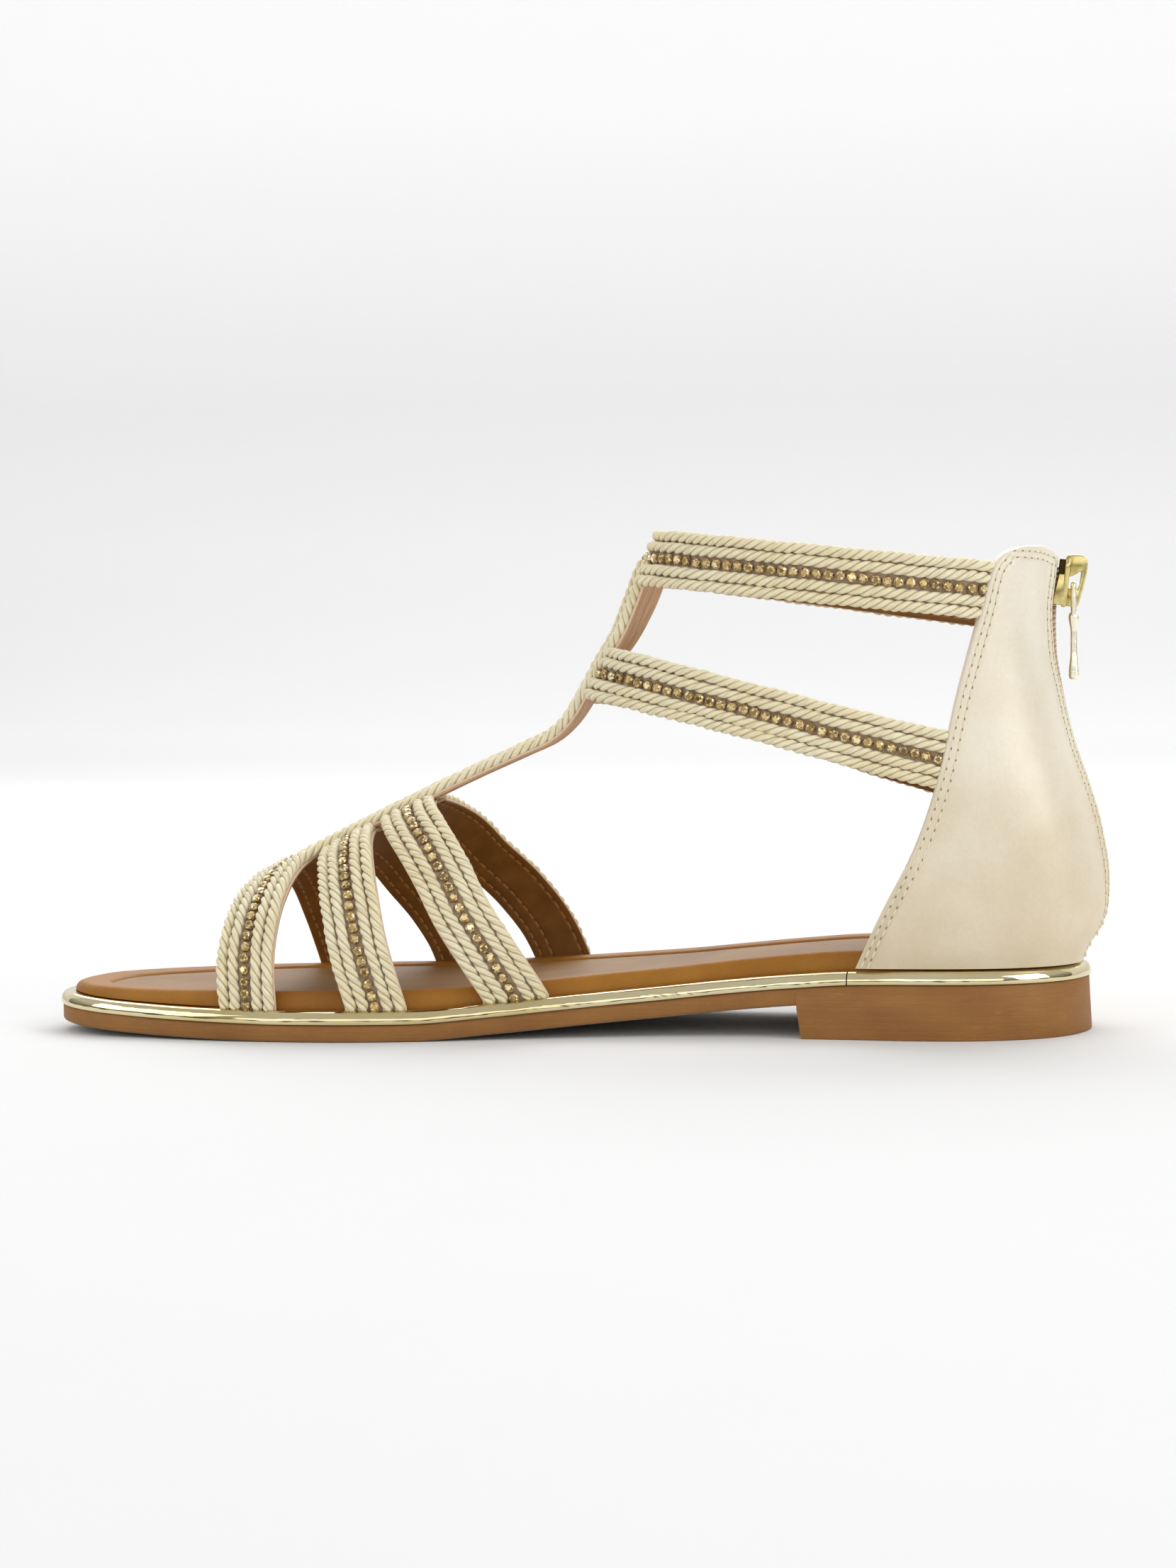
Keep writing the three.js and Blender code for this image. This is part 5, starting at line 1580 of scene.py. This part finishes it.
def stitch_mesh(length, width, height):
    """A flattened stitch along X with its ends dipping in."""
    rings = []
    for t in np.linspace(-1, 1, 7):
        size = math.sqrt(max(1 - t ** 2 * 0.96, 0.02))
        rings.append([(t * length / 2, width / 2 * size * math.cos(a),
                       height * size * math.sin(a) + height * 0.2 - height * 0.9 * t ** 4)
                      for a in np.linspace(0, 2 * math.pi, 7)[:-1]])
    return sweep(rings)


class SANDAL_OT_stitches(bpy.types.Operator):
    """Sews the double rows of stitches round the quarters"""

    bl_idname = "sandal.stitches"
    bl_label = "Stitches"

    def execute(self, context):
        pitch = sizes().stitch_pitch / MM
        stitch_points, stitch_faces = stitch_mesh(pitch * 0.72, 0.42, 0.2)
        turns = np.linspace(0, 2 * math.pi, 9)[:-1]
        hole = np.column_stack([0.42 * np.cos(turns), 0.2 * np.sin(turns), np.zeros(8)])
        for side, word in ((-1, "inner"), (1, "outer")):
            quarter = QUARTERS[side]
            threads, holes = Parts(), Parts()
            for row in STITCH_ROWS:
                line = inset_line(quarter.edge(), row)
                at, flat = resample(np.column_stack([line, np.zeros(len(line))]), pitch / 2)
                places, ways = quarter.at(flat[:, :2], QUARTER_OUTER)
                along = unit(np.gradient(places, axis=0))
                for i in range(1, len(at) - 1):
                    out = ways[i]
                    x_way = unit(along[i] - out * (along[i] @ out))
                    basis = np.stack([x_way, np.cross(out, x_way), out])
                    if i % 2:
                        threads.add(places[i] - out * 0.02 + stitch_points @ basis, stitch_faces)
                    else:
                        # painted shade: a flat dark oval just under the surface stands for the shade in each
                        # needle hole
                        holes.add(places[i] - out * 0.07 + hole @ basis, [list(range(8))])
            thread = threads.build(f"stitches_{word}", [finish("thread")])
            dots = holes.build(f"stitch_holes_{word}", [finish("hole")])
        return {"FINISHED"}


# Operators: back zip


def tube(line, radius, sides=14):
    """Rings of a round wire along a closed line that lies across the shoe."""
    line = np.asarray(line, float)
    way = unit(np.roll(line, -1, axis=0) - np.roll(line, 1, axis=0))
    first = unit(np.cross(way, np.array([1.0, 0, 0])))
    second = np.cross(way, first)
    turn = 2 * math.pi * np.arange(sides) / sides
    return (line[:, None] + radius * np.cos(turn)[None, :, None] * first[:, None]
            + radius * np.sin(turn)[None, :, None] * second[:, None])


def across_back(z, width, stand):
    """A place on the back line at a signed distance from the middle plane."""
    side = -1 if width < 0 else 1
    z = np.asarray(z, float)
    stand = np.broadcast_to(stand, z.shape).astype(float)
    angle = leg_angle_across(z, abs(width), side, stand)
    return leg(z, angle, side, stand)


TAPE_STAND = -0.25
TAPE_THICKNESS = 0.7
chain_proud = column(CHAIN_LINE, "height", "proud")
COIL_PITCH = 0.66
COIL_WIRE = 0.36
COIL_HALF = 1.35
COIL_OVERLAP = 0.55


def coil_face(z):
    """How far the coil's face stands off the leg: a little below the CAD's chain."""
    share = z / COLLAR_HEIGHT
    return chain_proud(share) * CHAIN_PROUD - mix(0.6, 0.35, smoothstep(share, 0.6, 0.8))


class SANDAL_OT_tape(bpy.types.Operator):
    """Makes the woven tape and the meshed coils of the back zip"""

    bl_idname = "sandal.tape"
    bl_label = "Tape and coils"

    def execute(self, context):
        z = np.linspace(footbed_top(SOLE_LENGTH) + CLEARANCE, COLLAR_HEIGHT - 1.0, 90)
        widths = np.linspace(-12, 12, 25)
        lines = [across_back(z, w, TAPE_STAND) for w in widths]
        lines += [across_back(z, w, TAPE_STAND - TAPE_THICKNESS) for w in widths[::-1]]
        points, faces = sweep(np.stack(lines, axis=1))
        tape = outward(new_object("zip_tape_web", points, faces, [finish("tape")], sharp=60))
        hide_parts("zip_tape")

        low = rand_top(SOLE_LENGTH) + 2 * CLEARANCE + 0.4
        high = COLLAR_HEIGHT - CHAIN_TOP_GAP - 0.4
        parts = Parts()
        levels = np.linspace(low, high, 60)
        strip = [across_back(levels, w, coil_face(levels) - 1.1) for w in (-2.2, -1.1, 0, 1.1, 2.2)]
        strip += [across_back(levels, w, TAPE_STAND + 0.2) for w in (2.2, 1.1, 0, -1.1, -2.2)]
        strip_points, strip_faces = sweep(np.stack(strip, axis=1))
        parts.add(strip_points, strip_faces)
        turns = np.linspace(0, 2 * math.pi, 15)[:-1]
        for i in range(int((high - low) / COIL_PITCH)):
            height = low + COIL_PITCH * (i + 0.5)
            side = 1 if i % 2 else -1
            middle, upper = (across_back(h, 0.0, float(coil_face(h))) for h in (height, height + 1.0))
            along = unit(upper - middle)
            out = unit(np.cross(np.array([0, 1.0, 0]), along))
            out = out * np.sign(out[0])
            reach = COIL_HALF * signed_power(np.cos(turns), 0.7) + COIL_HALF - COIL_OVERLAP
            depth = -COIL_WIRE - 0.75 * (1 - signed_power(np.sin(turns), 0.7))
            line = middle + reach[:, None] * side * np.array([0, 1.0, 0]) + depth[:, None] * out
            line = line + (0.35 * COIL_PITCH * np.sin(turns))[:, None] * along
            parts.add(*closed_tube(tube(line, COIL_WIRE, sides=7)))
        chain = parts.build("zip_coil", [finish("coil")], sharp=60)
        outward(chain)
        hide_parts("zip_chain")
        return {"FINISHED"}


def slider_frame():
    """The slider's middle on the chain's face, and its directions outwards, across and along the zip."""
    middle = COLLAR_HEIGHT - SLIDER_TOP_GAP - SLIDER_LENGTH / 2
    low, high = (leg(np.array(middle + s * SLIDER_LENGTH / 2), np.array(0.0), 1, CHAIN_PROUD)
                 for s in (-1, 1))
    tilt = math.atan2(high[0] - low[0], high[2] - low[2])
    out = np.array([math.cos(tilt), 0, -math.sin(tilt)])
    along = np.array([math.sin(tilt), 0, math.cos(tilt)])
    return (low + high) / 2, np.stack([out, np.array([0, 1.0, 0]), along])


SLIDER_PLATE = (0.3, 1.5)
BAIL_REACH = 5.5
PIN_RADIUS = 0.68


BEVEL_SEGMENTS = 3


def rounded(points, radius, **build):
    """Turns an outline extruded between two places into a bevelled piece."""
    obj = new_object(points=points[0], faces=points[1], **build)
    work = bmesh.new()
    work.from_mesh(obj.data)
    bmesh.ops.recalc_face_normals(work, faces=work.faces)
    sharp = [e for e in work.edges if e.is_manifold and e.calc_face_angle(0) > math.radians(35)]
    bmesh.ops.bevel(work, geom=sharp, offset=radius * MM, segments=BEVEL_SEGMENTS, profile=0.5,
                    affect="EDGES", clamp_overlap=True)
    work.to_mesh(obj.data)
    work.free()
    obj.data.shade_smooth()
    obj.data.set_sharp_from_angle(angle=math.radians(50))
    return obj


def extruded(outline_points, low, high):
    """Points and faces of a flat outline (two numbers a point) drawn out between two values of a third."""
    count = len(outline_points)
    points = [(a, b, low) for a, b in outline_points] + [(a, b, high) for a, b in outline_points]
    faces = [[i, (i + 1) % count, (i + 1) % count + count, i + count] for i in range(count)]
    faces += [list(range(count))[::-1], list(range(count, 2 * count))]
    return np.array(points, float), faces


CURVE_STEPS = 8


def curve_points(*pieces):
    """Points along an outline given as corners and, as triples, start, control and end of curves."""
    found = []
    for piece in pieces:
        if len(piece) == 3:
            a, b, c = (np.array(p, float) for p in piece)
            found.extend((1 - t) ** 2 * a + 2 * t * (1 - t) * b + t * t * c
                         for t in np.linspace(0, 1, CURVE_STEPS + 1)[1:])
        else:
            found.append(np.array(piece, float))
    return np.array(found)


class SANDAL_OT_slider(bpy.types.Operator):
    """Makes the slider with its bail"""

    bl_idname = "sandal.slider"
    bl_label = "Slider"

    def execute(self, context):
        centre, basis = slider_frame()
        half, low, high = 4.5, -SLIDER_LENGTH / 2, SLIDER_LENGTH / 2
        face = curve_points(
            (-half * 0.8, low), (half * 0.8, low),
            ((half * 0.8, low), (half * 0.86, 0), (half, high * 0.45)),
            ((half, high * 0.45), (half, high), (half * 0.45, high)),
            (-half * 0.45, high),
            ((-half * 0.45, high), (-half, high), (-half, high * 0.45)),
            ((-half, high * 0.45), (-half * 0.86, 0), (-half * 0.8, low)),
        )[:-1]
        flat, faces = extruded(face, *SLIDER_PLATE)
        local = np.column_stack([flat[:, 2], flat[:, 0], flat[:, 1]])
        brass = [finish("brass")]
        plate = rounded((centre + local @ basis, faces), 0.4, name="slider_body", materials=brass)
        reach, base = BAIL_REACH, SLIDER_PLATE[1]
        profile = curve_points(
            (base - 0.3, low + 0.3), (reach - 1.3, low + 0.3),
            ((reach - 1.3, low + 0.3), (reach, 0), (reach, high * 0.55)),
            ((reach, high * 0.55), (reach, high), (reach - 1.8, high)),
            (base - 0.3, high - 0.2), (base - 0.3, high * 0.16), (base + 0.5, high * 0.16),
            (reach - 1.45, high * 0.4),
            ((reach - 1.45, high * 0.4), (reach - 1.3, 0), (reach - 1.7, -0.14 * SLIDER_LENGTH)),
            (base - 0.3, -0.14 * SLIDER_LENGTH),
        )

        def from_side(side_view, near, far):
            """A side view, given as places outwards and along the zip, drawn out across the zip."""
            flat, faces = extruded(side_view, near, far)
            return centre + np.column_stack([flat[:, 0], flat[:, 2], flat[:, 1]]) @ basis, faces

        bail = rounded(from_side(profile, -1.0, 1.0), 0.6, name="slider_bail", materials=brass)
        # painted shade: a dark brass block sits in the slider's throat, where there is only shade
        throat = np.array([(-1.2, 1.0), (0.5, 1.0), (0.5, high * 0.78), (-1.2, high * 0.78)])
        throat_shade_block = rounded(from_side(throat, -2.4, 2.4), 0.2, name="slider_throat",
                        materials=[finish("dark_brass")])
        wall = np.array([(-1.9, low + 0.5), (1.0, low + 0.35), (1.0, 1.6), (-1.0, 1.3)])
        for side, word in ((-1, "inner"), (1, "outer")):
            flange = rounded(from_side(wall, side * 2.85, side * 3.8), 0.25, name=f"slider_flange_{word}",
                             materials=brass)
        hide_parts("zip_slider")
        return {"FINISHED"}


class SANDAL_OT_pull(bpy.types.Operator):
    """Makes the pull: a bright link and a waisted tab that hang in the bail"""

    bl_idname = "sandal.pull"
    bl_label = "Pull"

    def execute(self, context):
        pin = Vector(next(joint for joint in frame["record"]["behaviour"]["joints"]
                          if joint["name"] == "zip_pull_swing")["pos_m"])
        pin = np.array(pin) / MM + ORIGIN
        half = 1.85
        bottom = -PULL_WINDOW - 0.9
        turns = np.linspace(0, math.pi, 13)
        loop = [(0.0, half * math.cos(a), half * 0.08 * math.sin(a)) for a in turns]
        loop += [(0.0, -half * math.cos(a), bottom - half * 0.2 * math.sin(a)) for a in turns]
        wire = resample(np.array(loop + loop[:1]), 0.35)[1][:-1]
        points, faces = closed_tube(tube(wire, PIN_RADIUS))
        link = outward(new_object("pull_link", pin + points, faces, [finish("pale_brass")], body="pull"))

        width_at, depth_at = column(PULL_TAB, "along", "width"), column(PULL_TAB, "along", "depth")
        rings = []
        turn = 2 * math.pi * np.arange(28) / 28
        steps = [np.linspace(0.31, 0.9, 25), np.linspace(0.91, 0.94, 9), np.linspace(0.95, 1.0, 9)]
        for along in np.concatenate(steps):
            cap = 1 - 0.07 * math.exp(-((along - 0.925) / 0.005) ** 2)
            if along < 0.35:
                cap = 0.72 + 0.28 * math.sqrt(max(1 - ((0.35 - along) / 0.04) ** 2, 0))
            z = -mix(PULL_WINDOW, PULL_LENGTH, (along - 0.31) / 0.69)
            rings.append(np.column_stack([
                signed_power(np.cos(turn), 0.6) * float(depth_at(along)) / 2 * cap,
                signed_power(np.sin(turn), 0.6) * float(width_at(along)) / 2 * cap,
                np.full(28, z)]))
        points, faces = sweep(rings)
        tab = outward(new_object("pull_tab", pin + points, faces, [finish("pale_brass")], body="pull",
                                 sharp=60))
        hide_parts("zip_pull")
        return {"FINISHED"}


# Operators: stage


LIGHT_TARGET = (0.0, 0.0, 0.05)
LIGHTS = (
    {"name": "overhead_light", "power": "key_power", "place": (0.0, 0.9, 1.05), "size": (1.7, 1.1)},
    {"name": "toe_light", "power": "fill_power", "place": (-1.1, -0.8, 0.7), "size": (0.9, 0.9)},
    {"name": "heel_light", "power": "rim_power", "place": (1.1, -0.5, 0.6), "size": (0.7, 0.9)},
    {"name": "front_light", "power": "front_power", "place": (0.15, -1.6, 0.42), "size": (2.2, 0.5)},
)


def area_light(name, place, size, power):
    light = bpy.data.lights.new(name, "AREA")
    light.shape, light.size, light.size_y = "RECTANGLE", size[0], size[1]
    light.energy = power
    obj = bpy.data.objects.new(name, light)
    obj.location = place
    obj.rotation_euler = (Vector(LIGHT_TARGET) - Vector(place)).to_track_quat("-Z", "Y").to_euler()
    bpy.context.collection.objects.link(obj)


BACKDROP_START = 1.2
BACKDROP_BEND = 0.8
BACKDROP_TOP = 1.0
BACKDROP_GLOW = ((0.0, 0.0), (0.02, 0.07), (0.15, 0.22), (0.5, 0.43), (1.0, 0.52))
CAMERA_PLACE = (0.12702, -0.84091, 0.10317)
CAMERA_TARGET = (0.00155, -0.0014, 0.05869)
CAMERA_ROLL = math.radians(-0.64)


class SANDAL_OT_stage(bpy.types.Operator):
    """Sets the floor, the soft lights and the camera"""

    bl_idname = "sandal.stage"
    bl_label = "Stage"

    def execute(self, context):
        stage = context.scene.sandal_stage
        look = Finish("pale_floor", 0.9, 0.0, Specular_IOR_Level=0.1)
        speckle = look.noise((0.02, 0.02, 0.02), detail=2.0)
        tone = tuple(stage.floor_colour)
        look.paint(look.ramp(speckle, ((0.3, tone[0] * 0.995), (0.7, tone[0]))))
        rise = look.axes(look.coords.outputs["Object"])["Z"]
        level = look.ramp(look.maths("MULTIPLY", rise, 1 / BACKDROP_TOP), BACKDROP_GLOW)
        look.set(Emission_Color=(1, 1, 1, 1))
        look.link(level, look.shader.inputs["Emission Strength"])
        profile = [(-3.0, 0.0), (BACKDROP_START, 0.0)]
        profile += [(BACKDROP_START + BACKDROP_BEND * math.sin(a), BACKDROP_BEND * (1 - math.cos(a)))
                    for a in np.linspace(0, math.pi / 2, 13)[1:]]
        profile += [(BACKDROP_START + BACKDROP_BEND, 3.0)]
        points = [(x, y, z) for y, z in profile for x in (-4.0, 4.0)]
        mesh = bpy.data.meshes.new("floor")
        mesh.from_pydata(points, [], grid_faces(len(profile), 2))
        mesh.materials.append(look.material)
        mesh.shade_smooth()
        floor = bpy.data.objects.new("floor", mesh)
        context.collection.objects.link(floor)

        world_light = context.scene.world or bpy.data.worlds.new("studio")
        context.scene.world = world_light
        world_light.use_nodes = True
        tree = world_light.node_tree
        background = tree.nodes["Background"]
        coords, split = tree.nodes.new("ShaderNodeTexCoord"), tree.nodes.new("ShaderNodeSeparateXYZ")
        sky = tree.nodes.new("ShaderNodeValToRGB")
        for element, (place, level) in zip(sky.color_ramp.elements, ((0.1, 0.18), (0.5, 0.68))):
            element.position, element.color = place, (level, level, level, 1)
        tree.links.new(coords.outputs["Generated"], split.inputs[0])
        tree.links.new(split.outputs["Z"], sky.inputs["Fac"])
        tree.links.new(sky.outputs["Color"], background.inputs["Color"])
        background.inputs["Strength"].default_value = 0.9
        for light in LIGHTS:
            area_light(light["name"], light["place"], light["size"], getattr(stage, light["power"]))

        camera_data = bpy.data.cameras.new("camera")
        camera_data.sensor_fit = "VERTICAL"
        camera_data.sensor_height = 36.0
        camera_data.sensor_width = 36.0
        camera_data.lens = stage.lens / MM
        camera_data.clip_start, camera_data.clip_end = 0.01, 20.0
        camera = bpy.data.objects.new("camera", camera_data)
        forward = (Vector(CAMERA_TARGET) - Vector(CAMERA_PLACE)).normalized()
        right = forward.cross(Vector((0, 0, 1))).normalized()
        up = right.cross(forward)
        rolled_right = right * math.cos(CAMERA_ROLL) + up * math.sin(CAMERA_ROLL)
        rolled_up = up * math.cos(CAMERA_ROLL) - right * math.sin(CAMERA_ROLL)
        turn = Matrix((rolled_right, rolled_up, -forward)).transposed()
        camera.matrix_world = Matrix.Translation(CAMERA_PLACE) @ turn.to_4x4()
        context.collection.objects.link(camera)
        context.scene.camera = camera
        context.scene.view_settings.view_transform = "Standard"
        context.scene.view_settings.look = "None"
        return {"FINISHED"}


class SANDAL_PT_panel(bpy.types.Panel):
    """Lists the steps and the sizes"""

    bl_label = "Gladiator Sandal"
    bl_idname = "SANDAL_PT_panel"
    bl_space_type = "VIEW_3D"
    bl_region_type = "UI"
    bl_category = "Sandal"

    def draw(self, context):
        for group in (context.scene.sandal_sizes, context.scene.sandal_stage):
            for name in group.bl_rna.properties.keys():
                if name not in ("rna_type", "name"):
                    self.layout.prop(group, name)
        for operator in OPERATORS:
            self.layout.operator(operator.bl_idname)


OPERATORS = (
    SANDAL_OT_outsole,
    SANDAL_OT_rand,
    SANDAL_OT_footbed,
    SANDAL_OT_strap_bases,
    SANDAL_OT_ropes,
    SANDAL_OT_stray_fibres,
    SANDAL_OT_stones,
    SANDAL_OT_quarters,
    SANDAL_OT_stitches,
    SANDAL_OT_tape,
    SANDAL_OT_slider,
    SANDAL_OT_pull,
    SANDAL_OT_stage,
)
CLASSES = (SandalSizes, SandalStage, *OPERATORS, SANDAL_PT_panel)


def register():
    for cls in CLASSES:
        bpy.utils.register_class(cls)
    bpy.types.Scene.sandal_sizes = PointerProperty(type=SandalSizes)
    bpy.types.Scene.sandal_stage = PointerProperty(type=SandalStage)


def unregister():
    del bpy.types.Scene.sandal_stage
    del bpy.types.Scene.sandal_sizes
    for cls in reversed(CLASSES):
        bpy.utils.unregister_class(cls)


def main():
    register()
    for operator in OPERATORS:
        name = operator.bl_idname.split(".")[1]
        getattr(bpy.ops.sandal, name)()


if __name__ == "__main__":
    main()
